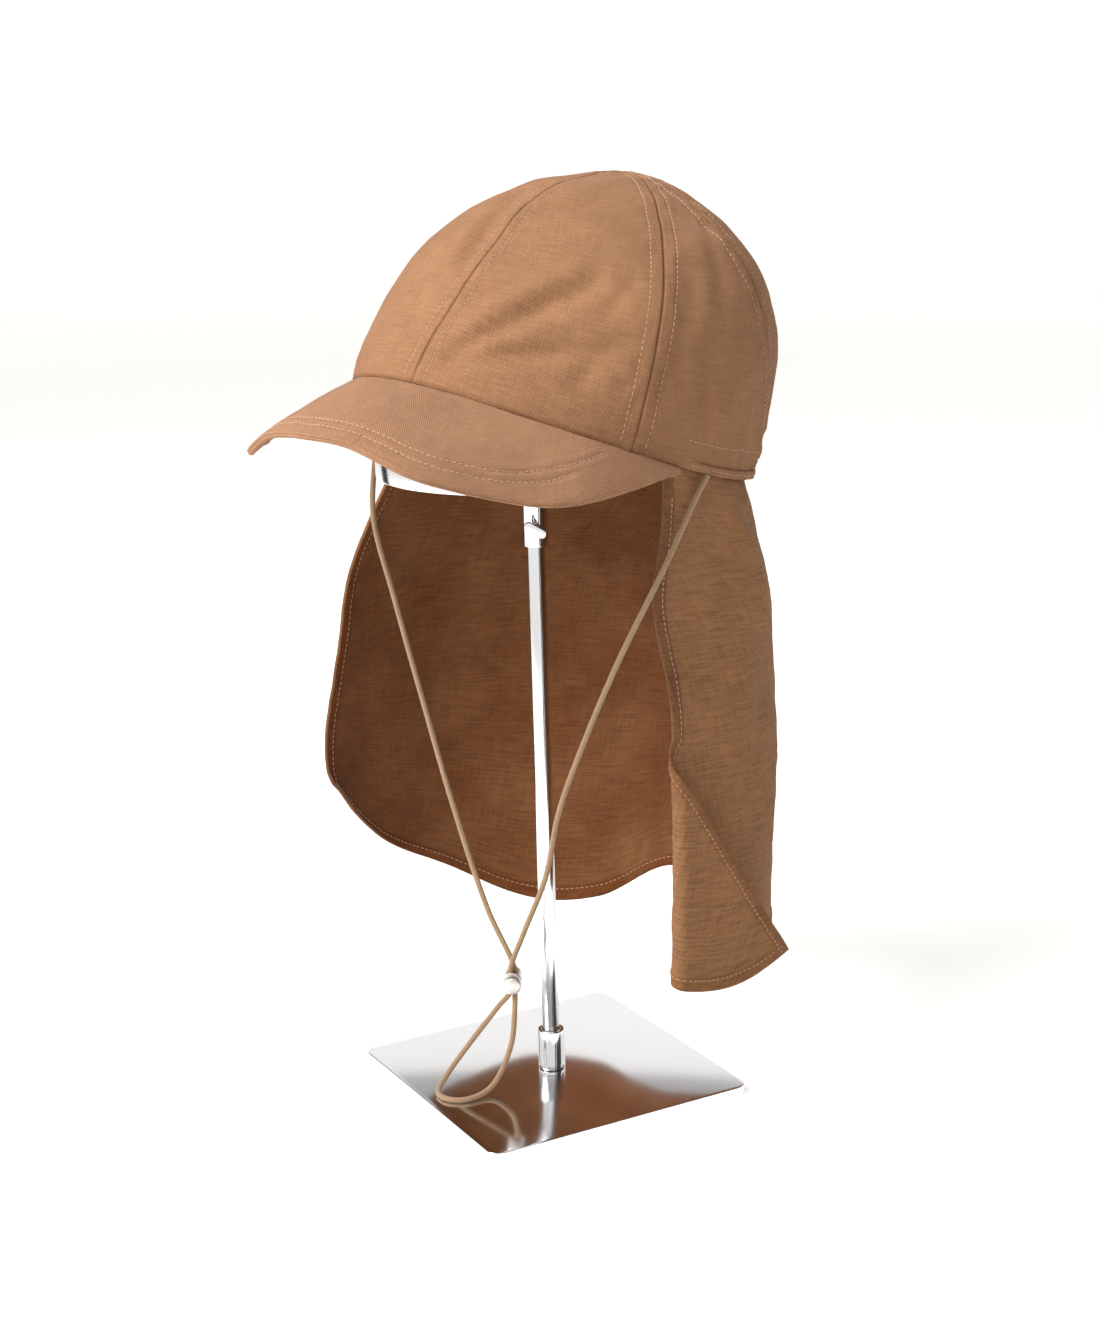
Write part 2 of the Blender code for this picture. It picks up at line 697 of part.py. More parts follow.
def make_arch(rise, turn):
    """One arch over the ring, whose legs run down inside the ring's wall."""
    made = bmesh.new()
    reach = RING_RADIUS - STRIP_THICK / 4
    foot = RING_FOOT + RING_HEIGHT
    leans = [pi * step / ARCH_STEPS for step in range(ARCH_STEPS + 1)]
    line = [(cos(lean), sin(lean), 0.0) for lean in leans]
    line = [(1.0, 0.0, ARCH_LEG), *line, (-1.0, 0.0, ARCH_LEG)]
    outer, inner = [], []
    for across, up, leg in line:
        outer.append(made.verts.new((reach * across, 0, foot + rise * up - leg)))
        inside = ((reach - STRIP_THICK) * across, 0, foot + (rise - STRIP_THICK) * up - leg)
        inner.append(made.verts.new(inside))
    for k in range(len(line) - 1):
        made.faces.new((outer[k], outer[k + 1], inner[k + 1], inner[k]))
    flat = made.faces[:]
    raised = bmesh.ops.extrude_face_region(made, geom=flat)["geom"]
    moved = [item for item in raised if isinstance(item, bmesh.types.BMVert)]
    bmesh.ops.translate(made, vec=(0, ARCH_WIDTH, 0), verts=moved)
    bmesh.ops.translate(made, vec=(0, -ARCH_WIDTH / 2, 0), verts=made.verts)
    bmesh.ops.rotate(made, cent=(0, 0, 0), matrix=Matrix.Rotation(turn, 3, "Z"), verts=made.verts)
    bmesh.ops.recalc_face_normals(made, faces=made.faces)
    return made


def hub_foot(rise):
    return RING_FOOT + RING_HEIGHT + rise - STRIP_THICK - HUB_DROP


def make_head_frame(finish, rise):
    """The ring under the crown with two crossed arches and a hub, brazed into one piece."""
    ring = [
        (RING_RADIUS - STRIP_THICK, RING_FOOT),
        (RING_RADIUS, RING_FOOT),
        (RING_RADIUS, RING_FOOT + RING_HEIGHT),
        (RING_RADIUS - STRIP_THICK, RING_FOOT + RING_HEIGHT),
    ]
    frame = add_object("head_frame", turned(ring, 2 * ROUND_SIDES), finish)
    add_boolean(frame, helper("side_arch", make_arch(rise, 0.0)), "UNION")
    add_boolean(frame, helper("long_arch", make_arch(rise - ARCH_STEP, pi / 2)), "UNION")
    foot = hub_foot(rise)
    top = foot + HUB_DROP + STRIP_THICK * 0.4
    radius = HUB_DIAMETER / 2
    hub = turned(((0, foot), (radius, foot), (radius, top), (0, top)), ROUND_SIDES)
    add_boolean(frame, helper("hub", hub), "UNION")


def make_sleeve(finish, rise):
    """The tube round the post's top, which runs up to the hub, with the screw's hole."""
    outer, bore = SLEEVE_DIAMETER / 2, POST_DIAMETER / 2 + GAP
    top = hub_foot(rise) - GAP
    stop = post_top() + GAP
    profile = (
        (0, top),
        (outer, top),
        (outer, SLEEVE_FOOT),
        (bore, SLEEVE_FOOT),
        (bore, stop),
        (0, stop),
    )
    sleeve = add_object("sleeve", turned(profile, ROUND_SIDES), finish)
    drill = bmesh.new()
    radius = SCREW_SHANK / 2 + GAP
    bmesh.ops.create_cone(
        drill,
        cap_ends=True,
        segments=16,
        radius1=radius,
        radius2=radius,
        depth=SLEEVE_DIAMETER,
        matrix=screw_axis() @ Matrix.Translation((0, 0, SLEEVE_DIAMETER / 2)),
    )
    add_boolean(sleeve, helper("screw_hole", drill))


def screw_axis():
    turn = Matrix.Rotation(SCREW_TURN, 4, "Z") @ Matrix.Rotation(pi / 2, 4, "X")
    return Matrix.Translation((0, 0, SLEEVE_FOOT + SCREW_ABOVE_FOOT)) @ turn


def make_screw(finish):
    """The clamp screw: a shank through the sleeve and a flat paddle across its end."""
    start = POST_DIAMETER / 2 + GAP
    stop = SLEEVE_DIAMETER / 2 + SCREW_REACH
    made = bmesh.new()
    bmesh.ops.create_cone(
        made,
        cap_ends=True,
        segments=16,
        radius1=SCREW_SHANK / 2,
        radius2=SCREW_SHANK / 2,
        depth=stop - start,
        matrix=Matrix.Translation((0, 0, (start + stop) / 2)),
    )
    bmesh.ops.transform(made, matrix=screw_axis(), verts=made.verts)
    screw = add_object("clamp_screw", made, finish)
    paddle = box(PADDLE_LENGTH, PADDLE_WIDTH, PADDLE_THICK, (0, 0, stop))
    bmesh.ops.bevel(
        paddle, geom=paddle.edges[:], offset=PADDLE_THICK / 4, segments=2, profile=0.5, affect="EDGES"
    )
    place = screw_axis() @ Matrix.Rotation(PADDLE_TILT, 4, "Z")
    bmesh.ops.transform(paddle, matrix=place, verts=paddle.verts)
    add_boolean(screw, helper("paddle", paddle), "UNION")


def main():
    clear_scene()
    cloth = material("cap_cloth", (0.36, 0.19, 0.095), 0.85)
    cloth_inside = material("flap_cloth", (0.33, 0.17, 0.08), 0.85)
    tape = material("binding_cloth", (0.32, 0.165, 0.08), 0.85)
    peak = material("peak_cloth", (0.42, 0.24, 0.14), 0.85)
    cord = material("cord", (0.52, 0.33, 0.17), 0.7)
    chrome = material("chrome", (0.82, 0.82, 0.83), 0.08, 1.0)
    nickel = material("nickel", (0.70, 0.68, 0.64), 0.2, 1.0)
    rise = arch_rise()
    make_plate(chrome)
    make_post(chrome)
    make_sleeve(chrome, rise)
    make_screw(chrome)
    make_head_frame(chrome, rise)
    make_crown(cloth)
    make_binding(tape)
    make_brim(peak)
    make_flap(cloth_inside)
    make_cord(cord)
    make_stopper(nickel, nickel)


main()
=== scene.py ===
"""A legionnaire cap on its chrome hat stand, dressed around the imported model.

Metres, +Z up, in the model's own frame: the cap faces -Y and the wearer's left is +X. Angles round
the head run from the front towards +X, and a share runs from an edge, 0, to the far side of it, 1.
"""

from math import cos, pi, radians, sin

import bmesh
import bpy
import numpy as np
from bpy.props import FloatProperty, FloatVectorProperty, PointerProperty
from mathutils import Matrix, Vector, noise


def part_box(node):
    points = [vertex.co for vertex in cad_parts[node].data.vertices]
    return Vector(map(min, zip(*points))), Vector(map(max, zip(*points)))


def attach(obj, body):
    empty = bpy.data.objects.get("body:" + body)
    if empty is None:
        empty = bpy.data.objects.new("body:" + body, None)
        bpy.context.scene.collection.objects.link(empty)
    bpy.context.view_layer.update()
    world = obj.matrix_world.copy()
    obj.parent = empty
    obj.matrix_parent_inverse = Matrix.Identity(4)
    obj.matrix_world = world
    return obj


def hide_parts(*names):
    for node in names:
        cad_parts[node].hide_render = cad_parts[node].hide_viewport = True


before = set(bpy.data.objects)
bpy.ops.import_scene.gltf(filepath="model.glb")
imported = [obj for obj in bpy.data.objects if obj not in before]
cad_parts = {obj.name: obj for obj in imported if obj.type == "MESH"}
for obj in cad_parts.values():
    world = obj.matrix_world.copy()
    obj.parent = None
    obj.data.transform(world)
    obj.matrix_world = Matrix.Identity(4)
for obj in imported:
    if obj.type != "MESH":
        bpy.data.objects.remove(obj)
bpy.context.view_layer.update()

bl_info = {
    "name": "Legionnaire cap on a hat stand",
    "version": (1, 0, 0),
    "blender": (4, 5, 0),
    "location": "View3D > Sidebar > Cap",
    "description": "Builds a cloth cap with a neck flap and a chin cord on a chrome hat stand",
    "category": "Object",
}

# Camera, as the photograph has it
AZIMUTH = radians(42.0)
ELEVATION = radians(13.886)
ROLL = radians(-1.703)
DISTANCE = 1.1184
LOOK_ACROSS = 0.00525
LOOK_HEIGHT = 0.2256
LENS = 60.47
FLOOR_GLOW = 0.40
FLOOR_GLOW_COLOUR = (1.0, 0.995, 0.985, 1.0)
FLOOR_REACH = 3.6
FLOOR_BEND = 0.9
FLOOR_RIM = 2.2
CARD_HEIGHT = 0.75
CARD_COLOUR = (0.012, 0.011, 0.010, 1.0)
LIGHT_AIM = Vector((0, 0, 0.25))

# Looks shared by several materials
SHEEN = (0.95, 0.72, 0.55, 1.0)
WORN_SHARE = 1.45
# How dark the thread is where its twist sinks: painted shade.
THREAD_GAP_SHARE = 0.62
POLISH_PITS = 0.000004
CORD_STRANDS = 8

# Cap opening and crown
RIM_HALF_LENGTH = 0.098
RIM_HALF_WIDTH = 0.093
RIM_SQUARENESS = 2.15
RIM_BACK_SHIFT = 0.0158
RIM_LEVEL = 0.341
RIM_FRONT_LIFT = 0.029
RIM_SIDE_DIP = 0.0046
RIM_ROLL = 0.0098
CROWN_TOP = 0.4637
CROWN_TOP_BACK = 0.077
CROWN_LEAN = -0.0132
CROWN_SHIFT = 0.0017
CROWN_ROUNDNESS = 2.153
CROWN_FRONT_ROUNDNESS = 0.114
CROWN_SWELL = 0.214
CROWN_BACK_SWELL = 0.556
CROWN_SIDE_SWELL = 0.048
CROWN_WALL = 0.0015
CROWN_HEIGHT = 0.19
GATHER_DEPTH = 0.0012
GATHER_COUNT = 18
FINE_GATHER_DEPTH = 0.0018
SEAM_BAND = 0.0070
SEAM_BAND_THICK = 0.0002
SEAM_GROOVE = 0.0008
SEAM_SEWN = 0.0062
SEAM_SEWN_DEPTH = 0.00035
PUCKER_DEPTH = 0.0009
STEP = 0.004
BINDING_START = radians(85)
BINDING_HEIGHT = 0.0048
BINDING_WALL = 0.0011
BINDING_ROWS = 9

# Peak
BRIM_REACH = 0.150
BRIM_HALF_WIDTH = 0.096
BRIM_SIDE_LEVEL = 0.3282
BRIM_RISE = 0.032
BRIM_CAMBER = 0.0020
BRIM_END = radians(80)
BRIM_END_WIDTH = 0.003
BRIM_WALL = 0.0035
BRIM_TUCK = 0.0022

# Neck flap
GAP = 0.0003
FLAP_LENGTH = 0.262
FLAP_SPREAD = 0.0967
FLAP_LEVEL = 0.338
FLAP_TUCK = 0.006
FLAP_SHOWN = 0.001
FLAP_WALL = 0.0012
SHOULDER_DROP = 0.28
SHOULDER_HALF_WIDTH = 0.14
FLAP_FOLD_START = 0.54
LAPEL_REACH = 0.082
LAPEL_LEAST = 0.012
LAPEL_TURN_RADIUS = 0.0045
LAPEL_SPLAY = 0.16
LAPEL_HEM_DIP = 0.009
FOLD_COLUMN = 201
HEM_COLUMNS = 5
HEM_ROWS = 6
HEM_STEP = 0.0007

# Chin cord and its stopper
BARREL_DIAMETER = 0.0094
BARREL_BACK = -0.0073
BARREL_FRONT = 0.0060
BARREL_BORE = 0.0076
BARREL_FLOOR = 0.0008
HOLE_HALF_LENGTH = 0.0029
HOLE_WIDTH = 0.0054
PLUNGER_DIAMETER = 0.0070
PLUNGER_BACK = -0.0037
PLUNGER_TRAVEL = 0.0025
PLUNGER_HEAD = 0.0088
HEAD_DIAMETER = 0.0090
HEAD_THICK = 0.0024
STRAND_ACROSS = 0.0010
STRAND_ALONG = 0.0012
STOPPER_PLACE = Vector((-0.0005, -0.0275, 0.0625))
STOPPER_TURN = radians(42)
CORD_DROP = 0.0006
NEAR_CORD_ANGLE = radians(92)
NEAR_CORD_INSET = -0.0005
FAR_CORD_ANGLE = radians(-71)
FAR_CORD_INSET = 0.0054
FAR_CORD_LIFT = 0.004

# Stand
PLATE_SIDE = 0.150
PLATE_THICK = 0.0045
PLATE_CORNER = 0.007
PLATE_TURN = radians(-19.2)
POST_DIAMETER = 0.009
POST_TOP = 0.318
COLLAR_DIAMETER = 0.014
SLEEVE_DIAMETER = 0.0127
SCREW_HEIGHT = 0.2945
SCREW_SHANK = 0.004
SCREW_TURN = radians(42)
SCREW_REACH = 0.0055
PADDLE_LENGTH = 0.012
PADDLE_WIDTH = 0.0045
PADDLE_THICK = 0.0022
PADDLE_TILT = radians(-31)
RING_RADIUS = 0.078
RING_HEIGHT = 0.009
RING_FOOT = 0.3225
STRIP_THICK = 0.002
ARCH_WIDTH = 0.008
ARCH_LEG = 0.004
HUB_DIAMETER = 0.016
HUB_DROP = 0.005

# Unevenness of a cloth: depth in metres, turns per metre and seed
CROWN_WAVES = ((0.0022, 17, 5.0), (0.0012, 44, 8.0), (0.0002, 130, 9.0))
BRIM_WAVES = ((0.0004, 30, 21.0), (0.00015, 110, 23.0))
FLAP_WAVES = ((0.0007, 60, 43.0), (0.00025, 170, 47.0))

# Soft lines on the crown: depth and half width in metres, then places as an angle in degrees and a
# share of the way up. A negative depth stands out.
CROWN_LINES = (
    # name, depth, half_width, places
    ("left_low", 0.0042, 0.0060,
     ((7, 0.05), (15, 0.13), (28, 0.22), (40, 0.30), (52, 0.36), (60, 0.42))),
    ("left_low_ridge", -0.0026, 0.0065,
     ((9, 0.14), (18, 0.22), (31, 0.31), (45, 0.40), (55, 0.46))),
    ("left_high", 0.0034, 0.0048, ((8, 0.05), (18, 0.09), (30, 0.13), (44, 0.17), (55, 0.21))),
    ("left_high_ridge", -0.0022, 0.0055, ((14, 0.09), (26, 0.16), (38, 0.22), (50, 0.27))),
    ("left_seam_dent", 0.0022, 0.0060, ((50, 0.10), (57, 0.19), (66, 0.24))),
    ("left_seam_pull", 0.0016, 0.0045, ((60, 0.30), (66, 0.36), (74, 0.42))),
    ("left_top", 0.0020, 0.0070, ((22, 0.62), (34, 0.66), (48, 0.68))),
    ("left_top_ridge", -0.0014, 0.0060, ((24, 0.56), (36, 0.60), (50, 0.62))),
    ("left_side", 0.0018, 0.0070, ((76, 0.12), (88, 0.30), (98, 0.50))),
    ("left_side_high", 0.0015, 0.0060, ((100, 0.30), (108, 0.48), (112, 0.66))),
    ("left_side_low", 0.0018, 0.0050, ((84, 0.06), (92, 0.16), (98, 0.30))),
    ("front_right", 0.0026, 0.0060, ((-10, 0.36), (-15, 0.50), (-22, 0.66), (-34, 0.78))),
    ("front_right_ridge", -0.0022, 0.0060, ((-16, 0.34), (-22, 0.48), (-30, 0.64))),
    ("front_right_low", 0.0018, 0.0060, ((-8, 0.12), (-20, 0.20), (-33, 0.24))),
    ("right_side", 0.0018, 0.0070, ((-80, 0.15), (-90, 0.32), (-98, 0.50))),
    ("back_left", 0.0016, 0.0070, ((140, 0.18), (150, 0.36), (158, 0.52))),
    ("back_right", 0.0016, 0.0070, ((-142, 0.16), (-150, 0.33), (-160, 0.50))),
)

# The two rows of stitching on the peak, from its middle to one side: shares of the half width and
# of the way out.
BRIM_ROWS = (
    ((0.0, 0.875), (0.15, 0.872), (0.30, 0.862), (0.44, 0.83), (0.55, 0.74), (0.62, 0.60)),
    (
        (0.0, 0.79), (0.18, 0.785), (0.35, 0.76), (0.47, 0.70), (0.57, 0.55), (0.66, 0.36),
        (0.71, 0.2),
    ),
)

# Folds of the flap: depth and half width in metres, then places as a share from the far edge to
# the fold and a share of the drop. A positive depth stands out from the head.
FLAP_LINES = (
    # name, depth, half_width, places
    ("near_ridge", 0.0035, 0.008,
     ((0.905, -0.02), (0.89, 0.09), (0.863, 0.17), (0.836, 0.27), (0.82, 0.40))),
    ("near_valley", -0.0030, 0.008, ((0.945, 0.02), (0.935, 0.14), (0.915, 0.26), (0.90, 0.42))),
    ("rim_fold", 0.0030, 0.005, ((0.875, 0.0), (0.836, 0.03), (0.845, 0.055), (0.89, 0.05))),
    ("near_soft", -0.0020, 0.012, ((0.86, 0.35), (0.87, 0.55), (0.88, 0.80))),
    ("near_low", 0.0018, 0.010, ((0.80, 0.55), (0.815, 0.75), (0.82, 0.98))),
    ("back_valley", -0.0022, 0.014, ((0.56, 0.05), (0.55, 0.35), (0.53, 0.70))),
    ("back_ridge", 0.0022, 0.014, ((0.47, 0.04), (0.46, 0.40), (0.45, 0.85))),
    ("far_valley", -0.0020, 0.013, ((0.30, 0.04), (0.27, 0.35), (0.25, 0.75))),
    ("far_ridge", 0.0018, 0.012, ((0.18, 0.03), (0.15, 0.30), (0.13, 0.60))),
)

# The peak's outer edge between its ends: shares of its half width, of its reach and of its rise.
BRIM_STATIONS = (
    # name, across, ahead, rise
    ("far_back", -0.985, 0.230, 0.620),
    ("far_side", -0.995, 0.503, 0.560),
    ("far_corner", -0.890, 0.690, 0.530),
    ("far_front", -0.615, 0.893, 0.540),
    ("front_far", -0.380, 0.948, 0.860),
    ("middle", -0.025, 1.001, 0.980),
    ("front_near", 0.242, 0.982, 0.900),
    ("near_corner", 0.601, 0.909, 0.450),
    ("near_front", 0.894, 0.651, 0.010),
    ("near_side", 0.995, 0.503, -0.060),
    ("near_back", 1.002, 0.230, -0.030),
)

# The flap from its far front edge round the back to the fold near its other edge. Plan places and
# the shoulder are shares of the flap's spread, and drops are shares of its length.
FLAP_STATIONS = (
    # name, rim_angle, shoulder, middle_x, middle_y, middle_drop, hem_x, hem_y, hem_drop
    ("far_edge", -86, 0.080, -1.360, -0.190, 0.500, -1.365, -0.255, 0.745),
    ("far_side", -104, 0.060, -1.385, 0.200, 0.510, -1.400, 0.140, 0.905),
    ("far_quarter", -126, 0.020, -1.290, 0.610, 0.510, -1.300, 0.575, 1.005),
    ("far_back", -150, 0.000, -0.960, 1.000, 0.510, -1.010, 0.930, 1.090),
    ("back", -172, 0.000, -0.480, 1.200, 0.510, -0.610, 1.140, 1.080),
    ("near_back", -195, 0.000, 0.060, 1.290, 0.510, -0.130, 1.260, 0.985),
    ("turn", -222, 0.030, 0.540, 1.250, 0.510, 0.480, 1.290, 1.040),
    ("near_side", -248, 0.000, 0.880, 0.740, 0.510, 0.790, 0.740, 1.070),
    ("fold", -284, -0.100, 0.795, 0.120, 0.510, 0.800, 0.080, 1.020),
)

# The chin cord's route from the far temple, round the loop on the plate, to the near temple.
CORD_ROUTE = (
    ("far_start", 0.0, 0.0, 0.0),
    ("far_under_brim", -0.0835, -0.0230, 0.3420),
    ("far_brim", -0.0835, -0.0290, 0.3190),
    ("far_high", -0.0822, -0.0322, 0.2950),
    ("far_upper", -0.0722, -0.0300, 0.2550),
    ("far_middle", -0.0570, -0.0265, 0.1985),
    ("far_lower", -0.0405, -0.0245, 0.1455),
    ("far_near_lock", -0.0190, -0.0245, 0.0950),
    ("far_lock_top", 0.0, 0.0, 0.0),
    ("far_lock_foot", 0.0, 0.0, 0.0),
    ("loop_right", 0.0015, -0.0290, 0.0455),
    ("loop_right_low", 0.0010, -0.0325, 0.0270),
    ("loop_right_floor", -0.0015, -0.0450, 0.0090),
    ("loop_front", -0.0050, -0.0595, 0.0062),
    ("loop_front_left", -0.0130, -0.0655, 0.0062),
    ("loop_left", -0.0225, -0.0630, 0.0066),
    ("loop_left_rise", -0.0245, -0.0545, 0.0120),
    ("loop_left_high", -0.0165, -0.0440, 0.0290),
    ("loop_left_top", -0.0060, -0.0330, 0.0480),
    ("near_lock_foot", 0.0, 0.0, 0.0),
    ("near_lock_top", 0.0, 0.0, 0.0),
    ("near_above_lock", 0.0075, -0.0260, 0.0900),
    ("near_lower", 0.0190, -0.0215, 0.1200),
    ("near_bend", 0.0285, -0.0205, 0.1560),
    ("near_middle", 0.0420, -0.0180, 0.1900),
    ("near_upper", 0.0645, -0.0150, 0.2370),
    ("near_high", 0.0840, -0.0020, 0.2840),
    ("near_brim", 0.0920, 0.0135, 0.3170),
    ("near_start", 0.0, 0.0, 0.0),
)


def length_setting(name, default, description):
    return FloatProperty(
        name=name, description=description, default=default, min=0.0, unit="LENGTH", precision=5
    )


def colour_setting(name, default, description):
    return FloatVectorProperty(
        name=name, description=description, default=default, min=0.0, max=1.0, subtype="COLOR"
    )


def power_setting(name, default, description):
    return FloatProperty(
        name=name, description=description, default=default, min=0.0, unit="POWER"
    )


class CapSizes(bpy.types.PropertyGroup):
    cloth_thickness: length_setting("Cloth thickness", 0.0010, "How thick one layer of cloth is")
    hem_width: length_setting("Hem width", 0.0065, "How wide the flap's turned hem is")
    hem_thickness: length_setting("Hem thickness", 0.0019, "How thick the turned hem is")
    stitch_length: length_setting("Stitch length", 0.0022, "How long one stitch shows")
    stitch_pitch: length_setting("Stitch pitch", 0.0030, "How far apart two stitches start")
    thread_diameter: length_setting("Thread diameter", 0.00062, "How thick the sewing thread is")
    seam_spacing: length_setting("Seam spacing", 0.0062, "How far topstitching lies from its seam")
    cord_diameter: length_setting("Cord diameter", 0.0028, "How thick the chin cord is")


class CapColours(bpy.types.PropertyGroup):
    # The dark tone of each cloth is partly painted shade on the sunk yarn and partly the yarn's own
    # flecks and slubs.
    crown_light: colour_setting("Crown, light", (0.345, 0.172, 0.084), "The crown's raised yarn")
    crown_dark: colour_setting("Crown, dark", (0.170, 0.080, 0.038), "The crown's sunk yarn")
    peak_light: colour_setting("Peak, light", (0.375, 0.196, 0.107), "The peak's raised ribs")
    peak_dark: colour_setting("Peak, dark", (0.205, 0.100, 0.051), "The peak's sunk ribs")
    flap_light: colour_setting("Flap, light", (0.300, 0.145, 0.063), "The flap's raised yarn")
    flap_dark: colour_setting("Flap, dark", (0.130, 0.055, 0.024), "The flap's sunk yarn")
    thread: colour_setting("Thread", (0.56, 0.34, 0.22), "The sewing thread")
    cord_light: colour_setting("Cord, light", (0.50, 0.33, 0.19), "The cord's raised strands")
    # Painted shade in the gaps between the cord's strands.
    cord_dark: colour_setting("Cord, dark", (0.27, 0.15, 0.070), "The gaps between its strands")
    floor: colour_setting("Floor", (0.92, 0.915, 0.905), "The studio floor")


class StageLights(bpy.types.PropertyGroup):
    key_power: power_setting("Key light", 43.0, "Power of the large light at the left")
    fill_power: power_setting("Fill light", 4.0, "Power of the light over the stand")
    surround: FloatProperty(
        name="Surround", description="Strength of the pale surround", default=0.45, min=0.0
    )


def smooth_through(points):
    """A fine line of points on a smooth curve through the given ones."""
    points = np.array(points, float)
    chord = np.sqrt(np.linalg.norm(np.diff(points, axis=0), axis=1)) + 1e-9
    at = np.concatenate([[0], np.cumsum(chord)])
    slope = np.gradient(points, at, axis=0)
    fine = []
    for k in range(len(points) - 1):
        step = at[k + 1] - at[k]
        t = np.linspace(0, 1, 24, endpoint=k == len(points) - 2)[:, None]
        fine.append(
            (2 * t**3 - 3 * t**2 + 1) * points[k]
            + (t**3 - 2 * t**2 + t) * step * slope[k]
            + (3 * t**2 - 2 * t**3) * points[k + 1]
            + (t**3 - t**2) * step * slope[k + 1]
        )
    return np.concatenate(fine)


def line_lengths(line):
    """The distance along a fine line to each of its points."""
    steps = np.linalg.norm(np.diff(line, axis=0), axis=1)
    return np.concatenate([[0], np.cumsum(steps)])


def taken(line, wanted):
    """The points of a fine line at the wanted distances along it."""
    along = line_lengths(line)
    return np.stack([np.interp(wanted, along, part) for part in line.T], axis=-1)


def unit(vectors):
    return vectors / np.maximum(np.linalg.norm(vectors, axis=-1, keepdims=True), 1e-12)


def waviness(places, scale, seed):
    """Smooth noise from -1 to 1 over places, with scale in turns per metre."""
    flat = np.reshape(places, (-1, 3)) * scale + seed
    return np.array([noise.noise(place) for place in flat]).reshape(np.shape(places)[:-1])


def waves(places, table):
    """The sum of a table of smooth unevenness at each place."""
    return sum(depth * waviness(places, scale, seed) for depth, scale, seed in table)


def bell(away, width):
    """1 where away is 0, fading smoothly past the width."""
    return np.exp(-((away / width) ** 2))


def felt_line(places, line, half_width):
    """How strongly each place feels a soft line that fades at its ends, from 0 to 1."""
    felt = np.zeros(np.shape(places)[:-1])
    for share, point in zip(np.linspace(0, 1, len(line)), line):
        away = np.linalg.norm(places - point, axis=-1) / half_width
        felt = np.maximum(felt, max(sin(pi * share), 0.0) ** 0.4 * np.exp(-(away**2)))
    return felt


def facing(places):
    """The side of a grid of places from which its columns run right as its rows run up."""
    return unit(np.cross(np.gradient(places, axis=1), np.gradient(places, axis=0)))


def rim_places(angle, inset=0.0):
    """Points on the cap's lower edge, moved in towards the head by inset."""
    across, ahead = np.sin(angle), np.cos(angle)
    squared = np.abs(across) ** RIM_SQUARENESS + np.abs(ahead) ** RIM_SQUARENESS
    reach = squared ** (-1 / RIM_SQUARENESS)
    x = (RIM_HALF_WIDTH - inset) * across * reach
    y = RIM_BACK_SHIFT - (RIM_HALF_LENGTH - inset) * ahead * reach
    z = RIM_LEVEL + RIM_FRONT_LIFT * ahead + RIM_SIDE_DIP * np.cos(2 * angle) - RIM_ROLL * across
    return np.stack((x, y, z), axis=-1)


def crown_base(angle, share):
    """The crown's outer face without seams and folds."""
    rim = rim_places(angle)
    roundness = CROWN_ROUNDNESS + CROWN_FRONT_ROUNDNESS * np.cos(angle)
    climb = share * pi / 2
    swell = CROWN_SWELL - CROWN_BACK_SWELL * np.cos(angle) + CROWN_SIDE_SWELL * np.cos(2 * angle)
    bulge = np.sin(2 * climb)
    width = np.abs(np.cos(climb)) ** (2 / roundness) * (1 + swell * bulge)
    x = rim[..., 0] * width + CROWN_SHIFT * bulge
    y = CROWN_TOP_BACK + (rim[..., 1] - CROWN_TOP_BACK) * width + CROWN_LEAN * bulge
    z = rim[..., 2] + (CROWN_TOP - rim[..., 2]) * np.abs(np.sin(climb)) ** (2 / roundness)
    return np.stack((x, y, z), axis=-1)


def seam_angles(share):
    """The angles of the six seams at a share of the way up, from the front round to it again."""
    side = np.radians(64.5 + 56.3 * share - 24.7 * share**2)
    rear = np.radians(126 - 10 * share)
    none = np.zeros_like(side)
    return np.stack((none, side, rear, none + pi, 2 * pi - rear, 2 * pi - side, none + 2 * pi))


def crown_directions(angle, share):
    """The crown's directions round the head and up, per radian and per share, and its outside."""
    low, high = np.maximum(share - STEP, 0), np.minimum(share + STEP, 1)
    around = (crown_base(angle + STEP, share) - crown_base(angle - STEP, share)) / (2 * STEP)
    up = (crown_base(angle, high) - crown_base(angle, low)) / (high - low)[..., None]
    outward = unit(np.cross(around, up))
    outward[np.linalg.norm(around, axis=-1) < 1e-6] = (0, 0, 1)
    return around, up, outward


def seam_distance(angle, share):
    """How far each place on the crown is from its nearest seam."""
    around, up, _ = crown_directions(angle, share)
    radius, climb = np.linalg.norm(around, axis=-1), np.linalg.norm(up, axis=-1)
    leans = (seam_angles(share + STEP) - seam_angles(share - STEP)) / (2 * STEP)
    away = np.abs(np.asarray(angle) - seam_angles(share))
    straight = 1 / np.sqrt(1 + (radius * leans / climb) ** 2)
    return (away * radius * straight).min(axis=0)


